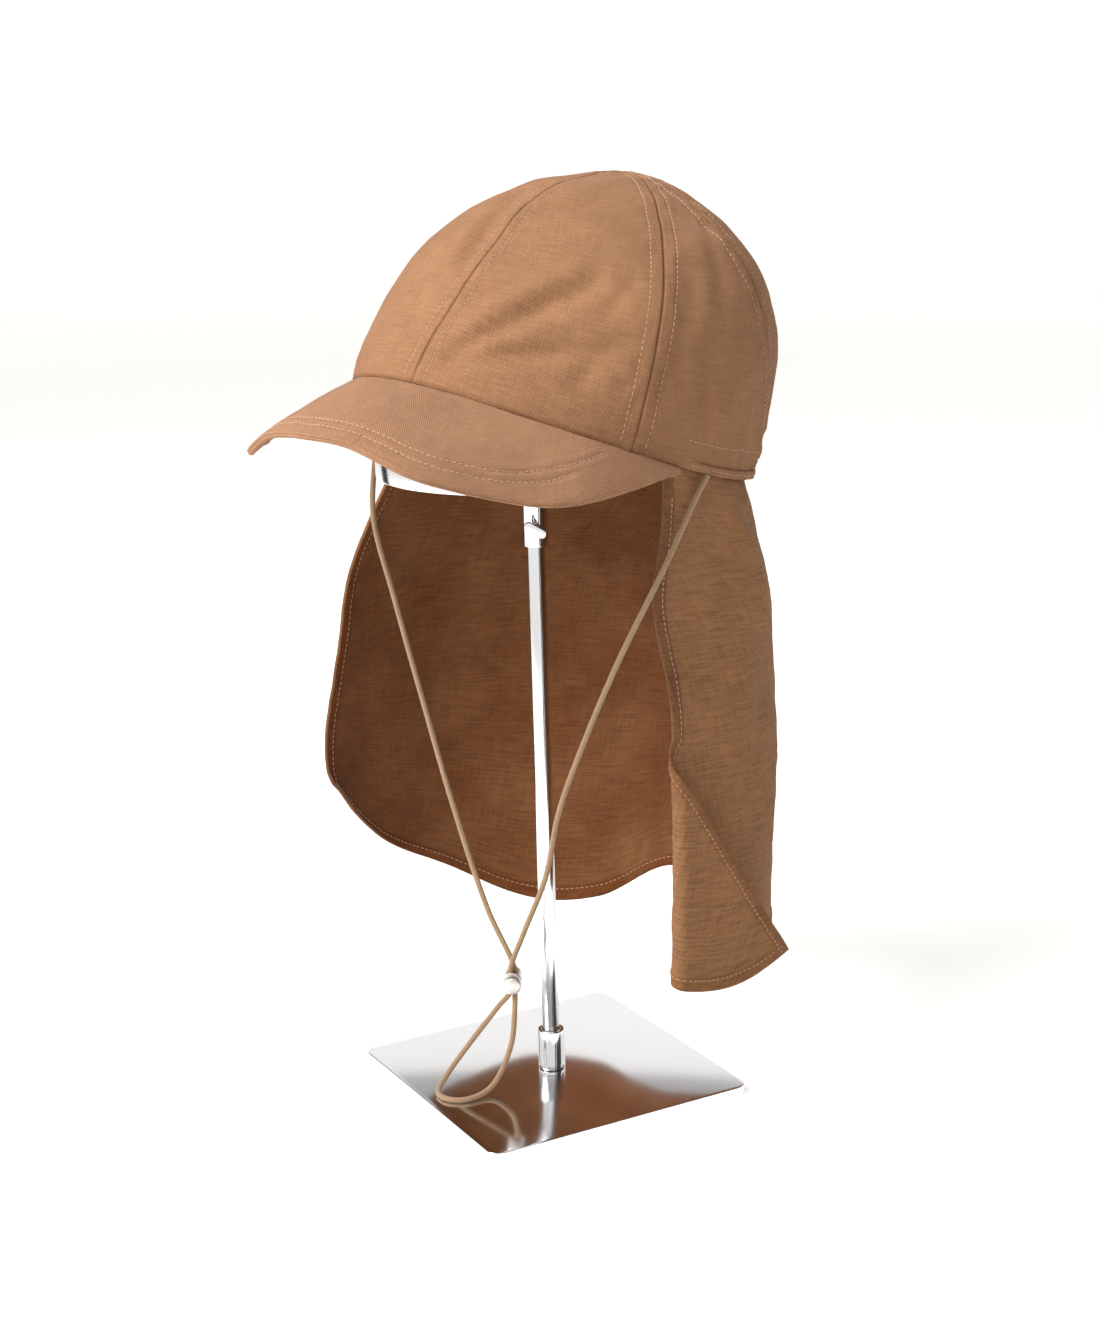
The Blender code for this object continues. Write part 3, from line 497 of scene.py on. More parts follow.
def crown_places(angle, share):
    """The crown with its seams, folds and gathers, the direction out of it, and a mask of painted
    shade that follows how sunk its seam grooves and stitch lines are.
    """
    angle, share = np.broadcast_arrays(np.asarray(angle, float), np.asarray(share, float))
    here = crown_base(angle, share)
    outward = crown_directions(angle, share)[2]
    away = seam_distance(angle, share)
    sunk = bell(away, 0.0006)
    height = SEAM_BAND_THICK / (1 + np.exp((away - SEAM_BAND) / 0.0004)) - SEAM_GROOVE * sunk
    sewn = bell(away - SEAM_SEWN, 0.0007)
    height -= SEAM_SEWN_DEPTH * sewn
    height += PUCKER_DEPTH * waviness(here, 170, 3.0) * bell(away - 0.0060, 0.0050)
    behind = np.maximum(0, 0.25 - np.cos(angle)) ** 0.5
    low = np.maximum(0, 1 - 3.2 * share)
    loose = waviness(here, 26, 11.0)
    height += 0.7 * GATHER_DEPTH * behind * low * np.cos(GATHER_COUNT * angle + 1.2 * loose)
    fine_gather = 1 - 2 * np.abs(np.sin(GATHER_COUNT * 1.15 * angle + 1.6 * loose)) ** 0.8
    height += FINE_GATHER_DEPTH * behind * np.maximum(0, 1 - share / 0.27) ** 0.8 * fine_gather
    height += waves(here, CROWN_WAVES)
    for _, depth, half_width, line in CROWN_LINES:
        turns, rises = smooth_through(line).T
        line = crown_base(np.radians(turns), rises)[::3]
        height -= depth * felt_line(here, line, half_width)
    height *= np.minimum(1, 0.35 + 12 * share)
    # The third value is painted shade: it darkens the colour in the seam grooves and along the
    # stitch lines.
    return here + outward * height[..., None], outward, 0.55 * sunk + 0.25 * sewn


def sheet_mesh(places, metres, ring=False, masks=()):
    """A bmesh of a grid of rows and columns moved to its places, with its own map in metres."""
    rows, columns = places.shape[:2]
    made = bmesh.new()
    bmesh.ops.create_grid(made, x_segments=columns - 1, y_segments=rows - 1, size=0.5)
    mesh = bpy.data.meshes.new("sheet")
    made.to_mesh(mesh)
    flat = np.empty(len(mesh.vertices) * 3)
    mesh.vertices.foreach_get("co", flat)
    column = np.rint((flat[0::3] + 0.5) * (columns - 1)).astype(int)
    row = np.rint((flat[1::3] + 0.5) * (rows - 1)).astype(int)
    mesh.vertices.foreach_set("co", places[row, column].ravel())
    corner = np.empty(len(mesh.loops), int)
    mesh.loops.foreach_get("vertex_index", corner)
    layer = mesh.uv_layers.new(name="metres")
    layer.data.foreach_set("uv", metres[row, column][corner].ravel())
    for name, values in masks:
        mask = mesh.attributes.new(name, "FLOAT", "POINT")
        mask.data.foreach_set("value", values[row, column].ravel())
    made.clear()
    made.from_mesh(mesh)
    bpy.data.meshes.remove(mesh)
    bmesh.ops.remove_doubles(made, verts=made.verts, dist=1e-6)
    if ring:
        bmesh.ops.holes_fill(made, edges=made.edges, sides=0)
    return made


def swept(line, side, up, section):
    """A closed section swept along a line, with its map's first axis along the line."""
    across, upward = section[None, :, :1], section[None, :, 1:]
    places = line[:, None] + across * side[:, None] + upward * up[:, None]
    along = np.broadcast_to(line_lengths(line)[:, None], places.shape[:2])
    around = np.broadcast_to(line_lengths(section)[None], places.shape[:2])
    made = sheet_mesh(places, np.stack((along, around), axis=-1), ring=True)
    bmesh.ops.recalc_face_normals(made, faces=made.faces)
    return made


def rounded_section(width, height, radius, steps=5):
    """A rounded rectangle as a closed line of two-dimensional points."""
    points = []
    for corner, (x, y) in enumerate(((1, 1), (-1, 1), (-1, -1), (1, -1))):
        for turn in np.linspace(0, pi / 2, steps):
            lean = turn + corner * pi / 2
            points.append((
                x * (width / 2 - radius) + radius * cos(lean),
                y * (height / 2 - radius) + radius * sin(lean),
            ))
    return np.array([*points, points[0]])


def turned(profile, sides=96):
    """A bmesh turned about Z from a profile of radius and height."""
    made = bmesh.new()
    points = [made.verts.new((radius, 0.0, height)) for radius, height in profile]
    edges = [made.edges.new(pair) for pair in zip(points, points[1:])]
    if profile[0][0] > 0 and profile[-1][0] > 0:
        edges.append(made.edges.new((points[-1], points[0])))
    bmesh.ops.spin(
        made, geom=points + edges, axis=(0, 0, 1), cent=(0, 0, 0), angle=2 * pi, steps=sides,
        use_merge=True, use_duplicate=False,
    )
    bmesh.ops.remove_doubles(made, verts=made.verts, dist=1e-6)
    bmesh.ops.recalc_face_normals(made, faces=made.faces)
    return made


def soften(made, offset, segments=2, least=radians(45)):
    """Bevels the sharp edges of a shape."""
    sharp = [e for e in made.edges if len(e.link_faces) == 2 and e.calc_face_angle() > least]
    bmesh.ops.bevel(
        made, geom=sharp, offset=offset, segments=segments, profile=0.5, affect="EDGES",
        material=-1, clamp_overlap=True,
    )
    return made


def box(size_x, size_y, size_z, centre=(0, 0, 0)):
    made = bmesh.new()
    place = Matrix.Translation(centre) @ Matrix.Diagonal((size_x, size_y, size_z, 1))
    bmesh.ops.create_cube(made, size=1.0, matrix=place)
    return made


def add_piece(name, made, finish, body, nodes=(), smooth_angle=radians(35)):
    """A finished piece at the origin from a bmesh, riding on its body."""
    mesh = bpy.data.meshes.new(name)
    made.to_mesh(mesh)
    made.free()
    mesh.materials.append(finish)
    mesh.shade_smooth()
    mesh.set_sharp_from_angle(angle=smooth_angle)
    piece = bpy.data.objects.new(name, mesh)
    bpy.context.scene.collection.objects.link(piece)
    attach(piece, body)
    if nodes:
        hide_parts(*nodes)
    return piece


def thicken(piece, thickness, offset, thin_group=None, thin_share=1.0):
    wall = piece.modifiers.new("wall", "SOLIDIFY")
    wall.thickness = thickness
    wall.offset = offset
    if thin_group:
        wall.vertex_group = thin_group
        wall.thickness_vertex_group = thin_share
    return wall


def cut(made, cutter):
    """A bmesh less another one."""
    objects = []
    for shape in (made, cutter):
        mesh = bpy.data.meshes.new("cutting")
        shape.to_mesh(mesh)
        shape.free()
        objects.append(bpy.data.objects.new("cutting", mesh))
        bpy.context.scene.collection.objects.link(objects[-1])
    change = objects[0].modifiers.new("cut", "BOOLEAN")
    change.operation = "DIFFERENCE"
    change.solver = "EXACT"
    change.object = objects[1]
    evaluated = objects[0].evaluated_get(bpy.context.evaluated_depsgraph_get())
    result = bmesh.new()
    result.from_mesh(evaluated.to_mesh())
    evaluated.to_mesh_clear()
    for item in objects:
        bpy.data.meshes.remove(item.data)
    return result


def add_stitches(made, line, outward, sizes, lift=0.0):
    """Adds a row of stitches that lie along a line on cloth."""
    along = line_lengths(line)
    count = int(along[-1] / sizes.stitch_pitch)
    half, radius = sizes.stitch_length / 2, sizes.thread_diameter / 2
    middles = (np.arange(count) + 0.5) * along[-1] / max(count, 1)
    starts, ends = taken(line, middles - half), taken(line, middles + half)
    normals = unit(np.stack([np.interp(middles, along, part) for part in outward.T], axis=-1))
    for start, end, normal in zip(starts, ends, normals):
        run = Vector(end - start).normalized()
        up = Vector(normal)
        side = run.cross(up).normalized()
        turn = Matrix((side, side.cross(run), run)).transposed().to_4x4()
        place = Matrix.Translation(Vector((start + end) / 2) + up * lift)
        scale = Matrix.Diagonal((radius, radius, half, 1))
        bmesh.ops.create_uvsphere(
            made, u_segments=6, v_segments=4, radius=1.0, matrix=place @ turn @ scale
        )


class Shader:
    """Adds nodes to a tree and links them to the sockets they are given."""

    def __init__(self, tree):
        self.tree = tree

    def add(self, kind, inputs=None, **settings):
        node = self.tree.nodes.new(kind)
        for name, value in settings.items():
            setattr(node, name, value)
        self.feed(node, inputs or {})
        return node

    def feed(self, node, inputs):
        """Links or sets a node's inputs, each given a socket or a plain value."""
        for name, value in inputs.items():
            if isinstance(value, bpy.types.NodeSocket):
                self.tree.links.new(value, node.inputs[name])
            else:
                node.inputs[name].default_value = value

    def group(self, name, maker, inputs):
        """A node of a shared group, which is built when it is first asked for."""
        tree = bpy.data.node_groups.get(name) or maker(name)
        return self.add("ShaderNodeGroup", inputs, node_tree=tree)

    def maths(self, operation, first, second=0.0):
        return self.add("ShaderNodeMath", {0: first, 1: second}, operation=operation).outputs[0]

    def noise(self, vector, scale, detail=2.0, roughness=0.5):
        inputs = {"Vector": vector, "Scale": scale, "Detail": detail, "Roughness": roughness}
        return self.add("ShaderNodeTexNoise", inputs).outputs["Fac"]

    def stretched(self, vector, scale):
        inputs = {0: vector, 1: scale}
        return self.add("ShaderNodeVectorMath", inputs, operation="MULTIPLY").outputs[0]

    def scaled(self, colour, share):
        inputs = {0: colour, "Scale": share}
        return self.add("ShaderNodeVectorMath", inputs, operation="SCALE").outputs[0]

    def bump(self, height, distance, strength):
        inputs = {"Height": height, "Distance": distance, "Strength": strength}
        return self.add("ShaderNodeBump", inputs).outputs[0]

    def ramp(self, value, low, high, start=0.0, end=1.0):
        inputs = {
            "Value": value, "From Min": low, "From Max": high, "To Min": start, "To Max": end,
        }
        return self.add("ShaderNodeMapRange", inputs).outputs[0]

    def mix(self, factor, first, second, kind="MIX"):
        node = self.add("ShaderNodeMix", data_type="RGBA", blend_type=kind)
        for name, value in (("Factor_Float", factor), ("A_Color", first), ("B_Color", second)):
            socket = next(item for item in node.inputs if item.identifier == name)
            if isinstance(value, bpy.types.NodeSocket):
                self.tree.links.new(value, socket)
            else:
                socket.default_value = value
        return next(item for item in node.outputs if item.identifier == "Result_Color")


def new_group(name, inputs, outputs):
    """An empty node group with its sockets, its helper, and its input and output nodes."""
    group = bpy.data.node_groups.new(name, "ShaderNodeTree")
    for label, kind, default in inputs:
        socket = group.interface.new_socket(label, in_out="INPUT", socket_type=kind)
        if default is not None:
            socket.default_value = default
    for label, kind in outputs:
        group.interface.new_socket(label, in_out="OUTPUT", socket_type=kind)
    shader = Shader(group)
    return group, shader, shader.add("NodeGroupInput"), shader.add("NodeGroupOutput")


def weave_group(name):
    """Cloth seen close: over and under of the yarn, slubs along both ways, and its two tones, the
    dark one partly painted shade on the sunk yarn.
    """
    group, shader, given, result = new_group(
        name,
        (
            ("Vector", "NodeSocketVector", None),
            ("Thread Pitch", "NodeSocketFloat", 0.0006),
            ("Twill", "NodeSocketFloat", 0.0),
            ("Slub", "NodeSocketFloat", 0.5),
            ("Light", "NodeSocketColor", (0.5, 0.3, 0.2, 1.0)),
            ("Dark", "NodeSocketColor", (0.3, 0.2, 0.1, 1.0)),
        ),
        (("Color", "NodeSocketColor"), ("Height", "NodeSocketFloat")),
    )
    place = given.outputs["Vector"]
    parts = shader.add("ShaderNodeSeparateXYZ", {"Vector": place})
    turns = shader.maths("DIVIDE", pi, given.outputs["Thread Pitch"])
    over = shader.maths("SINE", shader.maths("MULTIPLY", parts.outputs[0], turns))
    under = shader.maths("SINE", shader.maths("MULTIPLY", parts.outputs[1], turns))
    plain = shader.ramp(shader.maths("MULTIPLY", over, under), -1, 1)
    slant = shader.maths("ADD", parts.outputs[0], parts.outputs[1])
    ribs = shader.ramp(shader.maths("SINE", shader.maths("MULTIPLY", slant, turns)), -1, 1)
    share = given.outputs["Twill"]
    twilled = shader.maths("MULTIPLY", ribs, share)
    flat = shader.maths("MULTIPLY", plain, shader.maths("SUBTRACT", 1.0, share))
    weave = shader.maths("ADD", twilled, flat)
    weft = shader.noise(shader.stretched(place, (60.0, 900.0, 1.0)), 1.0, 3.0, 0.6)
    warp = shader.noise(shader.stretched(place, (800.0, 55.0, 1.0)), 1.0, 3.0, 0.6)
    speck = shader.noise(place, 1500.0, 1.0)
    warped = shader.ramp(warp, 0.32, 0.72, 0, 0.6)
    slubs = shader.maths("ADD", shader.ramp(weft, 0.32, 0.72), warped)
    slubs = shader.maths("MULTIPLY", shader.ramp(slubs, 0.2, 1.4), given.outputs["Slub"])
    # The sunk yarn takes the dark tone, painted shade; the specks and slubs are the yarn's own
    # tone.
    fine = shader.maths("MULTIPLY", weave, 0.42)
    grain = shader.maths("MULTIPLY", speck, 0.30)
    rest = shader.maths("SUBTRACT", 1.0, given.outputs["Slub"])
    still = shader.maths("MULTIPLY", rest, 0.30)
    tone = shader.maths("ADD", shader.maths("ADD", fine, grain), shader.maths("ADD", slubs, still))
    tone = shader.ramp(tone, 0.22, 0.95)
    raised, lumpy = shader.maths("MULTIPLY", weave, 0.55), shader.maths("MULTIPLY", slubs, 0.45)
    height = shader.maths("ADD", raised, lumpy)
    colour = shader.mix(tone, given.outputs["Dark"], given.outputs["Light"])
    shader.feed(result, {"Color": colour, "Height": height})
    return group


def fading_and_painted_shade_group(name):
    """Broad unevenness of dye and handling, with lighter raised edges from a mask, and painted
    shade, in broad patches, from a second mask.
    """
    group, shader, given, result = new_group(
        name,
        (
            ("Color", "NodeSocketColor", (0.5, 0.5, 0.5, 1.0)),
            ("Wear", "NodeSocketFloat", 0.0),
            ("Worn Color", "NodeSocketColor", (0.6, 0.4, 0.3, 1.0)),
            ("Painted Shade", "NodeSocketFloat", 0.0),
            ("Painted Shade Color", "NodeSocketColor", (0.6, 0.5, 0.45, 1.0)),
            ("Seed", "NodeSocketFloat", 0.0),
        ),
        (("Color", "NodeSocketColor"), ("Rough", "NodeSocketFloat")),
    )
    where = shader.add("ShaderNodeTexCoord").outputs["Object"]
    inputs = {0: where, 1: given.outputs["Seed"]}
    moved = shader.add("ShaderNodeVectorMath", inputs, operation="ADD").outputs[0]
    broad = shader.noise(moved, 22.0, 3.0, 0.55)
    small = shader.noise(moved, 140.0, 2.0, 0.6)
    shade = shader.ramp(broad, 0.3, 0.7, 0.90, 1.06)
    shade = shader.maths("MULTIPLY", shade, shader.ramp(small, 0.3, 0.7, 0.955, 1.04))
    colour = shader.scaled(given.outputs["Color"], shade)
    rubbed = shader.ramp(small, 0.35, 0.65, 0.05, 0.30)
    worn = shader.maths("MULTIPLY", given.outputs["Wear"], rubbed)
    colour = shader.mix(worn, colour, given.outputs["Worn Color"])
    # Painted shade: the second mask multiplies in a darker colour, stronger in broad patches.
    uneven = shader.ramp(broad, 0.30, 0.62, 1.0, 0.62)
    patchy_painted_shade = shader.maths("MULTIPLY", given.outputs["Painted Shade"], uneven)
    colour = shader.mix(patchy_painted_shade, colour, given.outputs["Painted Shade Color"], "MULTIPLY")
    shader.feed(result, {"Color": colour, "Rough": shader.ramp(small, 0.2, 0.8, 0.78, 0.96)})
    return group


def polish_group(name):
    """Polished plate seen close: faint smudges in its gloss and hairline rubbing."""
    group, shader, given, result = new_group(
        name,
        (
            ("Roughness", "NodeSocketFloat", 0.05),
            ("Smudges", "NodeSocketFloat", 0.05),
            ("Color", "NodeSocketColor", (0.8, 0.8, 0.8, 1.0)),
        ),
        (
            ("Color", "NodeSocketColor"),
            ("Roughness", "NodeSocketFloat"),
            ("Height", "NodeSocketFloat"),
        ),
    )
    where = shader.add("ShaderNodeTexCoord").outputs["Object"]
    broad = shader.noise(where, 45.0, 4.0, 0.6)
    pits = shader.noise(where, 420.0, 2.0, 0.5)
    smudge = shader.maths("MULTIPLY", shader.ramp(broad, 0.45, 0.75), given.outputs["Smudges"])
    rough = shader.maths("ADD", given.outputs["Roughness"], smudge)
    dull = shader.ramp(broad, 0.3, 0.8, 1.0, 0.94)
    colour = shader.scaled(given.outputs["Color"], dull)
    shader.feed(result, {"Color": colour, "Roughness": rough, "Height": pits})
    return group


def braid_group(name):
    """A round braid: crossing diagonal strands along and around the cord, with painted shade in the
    gaps between them.
    """
    group, shader, given, result = new_group(
        name,
        (
            ("Vector", "NodeSocketVector", None),
            ("Strand Pitch", "NodeSocketFloat", 0.0011),
            ("Light", "NodeSocketColor", (0.6, 0.4, 0.25, 1.0)),
            ("Dark", "NodeSocketColor", (0.3, 0.2, 0.1, 1.0)),
        ),
        (("Color", "NodeSocketColor"), ("Height", "NodeSocketFloat")),
    )
    parts = shader.add("ShaderNodeSeparateXYZ", {"Vector": given.outputs["Vector"]})
    turns = shader.maths("DIVIDE", pi, given.outputs["Strand Pitch"])
    along = shader.maths("MULTIPLY", parts.outputs[0], turns)
    around = shader.maths("MULTIPLY", parts.outputs[1], turns)
    left = shader.maths("SINE", shader.maths("ADD", along, around))
    right = shader.maths("SINE", shader.maths("SUBTRACT", along, around))
    crossed = shader.maths("ABSOLUTE", shader.maths("MULTIPLY", left, right))
    height = shader.maths("POWER", crossed, 0.5)
    fuzz = shader.noise(given.outputs["Vector"], 2600.0, 2.0)
    # Dark in the gaps between strands, painted shade, with the fuzz as the yarn's own tone.
    tone = shader.maths("MULTIPLY", height, shader.ramp(fuzz, 0.25, 0.7, 0.6, 1.0))
    colour = shader.mix(tone, given.outputs["Dark"], given.outputs["Light"])
    shader.feed(result, {"Color": colour, "Height": height})
    return group


def new_material(name, colour, **constants):
    """A material with its shader's plain numbers on the shader's own sockets."""
    made = bpy.data.materials.new(name)
    made.use_nodes = True
    made.diffuse_color = (*colour, 1.0)
    shader = Shader(made.node_tree)
    surface = made.node_tree.nodes["Principled BSDF"]
    for label, value in constants.items():
        surface.inputs[label.replace("_", " ")].default_value = value
    return made, shader, surface


def cloth_material(
    name, light, dark, pitch, twill, slub, seed, depth=0.0005, painted_shade=(0.45, 0.38, 0.33), mask="painted_shade"
):
    """Woven cotton over the piece's own map in metres, worn where one mask says so and darkened
    with painted shade where another does.
    """
    made = bpy.data.materials.get(name)
    if made:
        return made
    made, shader, surface = new_material(
        name, light, Sheen_Weight=0.08, Sheen_Roughness=0.5, Specular_IOR_Level=0.2
    )
    surface.inputs["Sheen Tint"].default_value = SHEEN
    metres = shader.add("ShaderNodeUVMap", uv_map="metres").outputs[0]
    wear = shader.add("ShaderNodeAttribute", attribute_name="wear").outputs["Fac"]
    # Painted shade: where this mask is set, the darker colour given to the function is multiplied
    # in.
    painted_shade_mask = shader.add("ShaderNodeAttribute", attribute_name=mask).outputs["Fac"]
    weave = shader.group("woven cloth", weave_group, {
        "Vector": metres, "Thread Pitch": pitch, "Twill": twill, "Slub": slub,
        "Light": (*light, 1.0), "Dark": (*dark, 1.0),
    }).outputs
    paler = tuple(min(1.0, WORN_SHARE * part) for part in light)
    fading_and_painted_shade = shader.group("fading_and_painted_shade", fading_and_painted_shade_group, {
        "Color": weave["Color"], "Wear": wear, "Worn Color": (*paler, 1.0),
        "Painted Shade": painted_shade_mask, "Painted Shade Color": (*painted_shade, 1.0), "Seed": seed,
    }).outputs
    shader.feed(surface, {
        "Base Color": fading_and_painted_shade["Color"], "Roughness": fading_and_painted_shade["Rough"],
        "Normal": shader.bump(weave["Height"], depth, 0.8),
    })
    return made


def thread_material(name, colour):
    """Sewing thread: a fine twist over a plain dyed colour, with painted shade where the twist
    sinks.
    """
    made = bpy.data.materials.get(name)
    if made:
        return made
    made, shader, surface = new_material(name, colour, Sheen_Weight=0.2, Specular_IOR_Level=0.3)
    where = shader.add("ShaderNodeTexCoord").outputs["Object"]
    twist = shader.noise(where, 2200.0, 2.0)
    uneven = shader.noise(where, 160.0, 2.0)
    dark = (*[THREAD_GAP_SHARE * part for part in colour], 1.0)
    # Darker where the twist sinks, painted shade, with uneven dye over it.
    twisted = shader.ramp(twist, 0.3, 0.7, 0.4, 1.0)
    tone = shader.maths("MULTIPLY", twisted, shader.ramp(uneven, 0.3, 0.7, 0.6, 1.0))
    shader.feed(surface, {
        "Base Color": shader.mix(tone, dark, (*colour, 1.0)),
        "Roughness": shader.ramp(twist, 0.2, 0.8, 0.6, 0.85),
        "Normal": shader.bump(twist, 0.00012, 0.6),
    })
    return made


def metal_material(name, colour, roughness, smudges):
    """Plated metal with faint smudges."""
    made = bpy.data.materials.get(name)
    if made:
        return made
    made, shader, surface = new_material(name, colour, Metallic=1.0)
    polish = shader.group("polish", polish_group, {
        "Roughness": roughness, "Smudges": smudges, "Color": (*colour, 1.0)
    }).outputs
    shader.feed(surface, {
        "Base Color": polish["Color"], "Roughness": polish["Roughness"],
        "Normal": shader.bump(polish["Height"], POLISH_PITS, 0.5),
    })
    return made


def chrome():
    """Bright plate, for the stand."""
    return metal_material("chrome", (0.80, 0.80, 0.81), 0.012, 0.03)


def nickel():
    """Duller, warmer plate, for the stopper."""
    return metal_material("nickel", (0.60, 0.56, 0.50), 0.10, 0.10)


def crown_cloth(colours):
    """The cloth of the crown and of the band round its edge."""
    return cloth_material(
        "crown cloth", tuple(colours.crown_light), tuple(colours.crown_dark),
        pitch=0.00075, twill=0.6, slub=0.40, seed=2.0,
    )


def make_crown(sizes, colours):
    """Six panels of one closed grid whose columns crowd at the seams."""
    panel_columns, rows = 58, 118
    share = (np.arange(rows) / (rows - 1)) ** 0.95
    t = np.arange(panel_columns) / panel_columns
    crowded = t - 0.85 * np.sin(2 * pi * t) / (2 * pi)
    bounds = seam_angles(share)
    panels = [
        bounds[k][:, None] + (bounds[k + 1] - bounds[k])[:, None] * crowded for k in range(6)
    ]
    angle = np.concatenate([*panels, np.full((rows, 1), 2 * pi)], axis=1)
    share = np.broadcast_to(share[:, None], angle.shape)
    places, _, sunk = crown_places(angle, share)
    radius = np.linalg.norm(crown_directions(angle, share)[0], axis=-1)
    panel = np.minimum(np.arange(angle.shape[1]) // panel_columns, 5)
    middles = (bounds[panel] + bounds[panel + 1]).T / 2
    across = (angle - middles) * radius + panel * 0.31
    metres = np.stack((across, share * CROWN_HEIGHT), axis=-1)
    # The mask paints shade into the seam grooves and stitch lines.
    made = sheet_mesh(places, metres, masks=(("painted_shade", sunk),))
    crown = add_piece("crown_cloth", made, crown_cloth(colours), "root", ("crown",))
    thicken(crown, sizes.cloth_thickness, -1)
    return crown


def make_crown_stitches(sizes, colours):
    """Two rows of topstitching along each seam of the crown."""
    made = bmesh.new()
    share = np.linspace(0.012, 0.95, 240)
    lift = sizes.thread_diameter * 0.15
    for seam in seam_angles(share)[:6]:
        around, up, _ = crown_directions(seam, share)
        radius, climb = np.linalg.norm(around, axis=-1), np.linalg.norm(up, axis=-1)
        lean = radius * np.gradient(seam, share) / climb
        for side in (-1, 1):
            angle = seam + side * sizes.seam_spacing * np.sqrt(1 + lean**2) / radius
            places, outward, _ = crown_places(angle % (2 * pi), share)
            add_stitches(made, places, outward, sizes, lift)
    thread = thread_material("crown thread", tuple(colours.thread))
    return add_piece("crown_stitches", made, thread, "root")


def make_binding(sizes, colours):
    """The narrow stitched band round the back of the crown's edge."""
    columns = 300
    angle = np.linspace(BINDING_START, 2 * pi - BINDING_START, columns)
    low, outward, _ = crown_places(angle, np.full(columns, 0.0))
    high = crown_places(angle, np.full(columns, 0.045))[0]
    rise = (high - low) / (high - low)[:, 2:] * BINDING_HEIGHT
    ends = np.minimum(1, np.minimum(np.arange(columns), np.arange(columns)[::-1]) / 6) ** 0.5
    ripple = 0.00018 * waviness(low, 160, 4.0)
    ups = np.linspace(0, 1, BINDING_ROWS)
    puffed = 0.0005 + 0.0010 * (1 - np.abs(2 * ups - 1) ** 5) - 0.00035 * bell(ups - 0.5, 0.12)
    places = np.array([
        low + rise * up + outward * ((puff + ripple) * ends)[:, None]
        for up, puff in zip(ups, puffed)
    ])
    along = np.broadcast_to(line_lengths(low)[None], places.shape[:2])
    upward = np.broadcast_to(ups[:, None] * BINDING_HEIGHT, places.shape[:2])
    wear = np.broadcast_to(np.abs(2 * ups - 1)[:, None] ** 4, places.shape[:2])
    made = sheet_mesh(places, np.stack((along, upward), axis=-1), masks=(("wear", wear),))
    cloth = crown_cloth(colours)
    band = add_piece("binding_band", made, cloth, "root", ("rim_binding",))
    thicken(band, BINDING_WALL, -1)
    threads = bmesh.new()
    add_stitches(threads, places[BINDING_ROWS // 2], outward, sizes, sizes.thread_diameter * 0.2)
    above, out, _ = crown_places(angle, np.full(columns, 0.058))
    add_stitches(threads, above, out, sizes, sizes.thread_diameter * 0.1)
    thread = thread_material("crown thread", tuple(colours.thread))
    add_piece("binding_stitches", threads, thread, "root")
    return band


def brim_edge():
    """The peak's outer edge as a fine line from its far end to its near one."""
    points = []
    for _, across, ahead, rise in BRIM_STATIONS:
        level = BRIM_SIDE_LEVEL + rise * BRIM_RISE
        points.append((across * BRIM_HALF_WIDTH, -ahead * BRIM_REACH, level))
    drop = np.array((0, 0, BRIM_END_WIDTH / 2))
    far_end = rim_places(-BRIM_END, -BRIM_END_WIDTH) - drop
    near_end = rim_places(BRIM_END, -BRIM_END_WIDTH) - drop
    return smooth_through([far_end, *points, near_end])


def brim_rows():
    """The rows of the peak's stitching as fine lines of shares across and out, end to end."""
    return [
        smooth_through([(-across, out) for across, out in half[:0:-1]] + list(half))
        for half in BRIM_ROWS
    ]


def brim_top(share, out, edge):
    """Places on the peak's upper face and the direction out of it."""

    def flat(share, out):
        inner = rim_places(share * BRIM_END) - np.array((0, 0, GAP))
        outer = taken(edge, (share + 1) / 2 * line_lengths(edge)[-1])
        camber = BRIM_CAMBER * 4 * out * (1 - out) * np.cos(share * pi / 2)
        places = inner + (outer - inner) * out[..., None]
        places[..., 2] += camber
        return places

    right = flat(np.minimum(share + STEP, 1), out) - flat(np.maximum(share - STEP, -1), out)
    inward = flat(share, out - STEP) - flat(share, out + STEP)
    places, outward = flat(share, out), unit(np.cross(right, inward))
    height = waves(places, BRIM_WAVES)
    for line in brim_rows():
        sewn = flat(line[::2, 0], line[::2, 1])
        away = np.full(share.shape, 1.0)
        for point in sewn:
            away = np.minimum(away, np.linalg.norm(places - point, axis=-1))
        height += 0.00020 * bell(away - 0.0025, 0.0015) - 0.00045 * bell(away, 0.0011)
    height -= 0.0006 * bell(1 - out, 0.035)
    return places + outward * height[..., None], outward


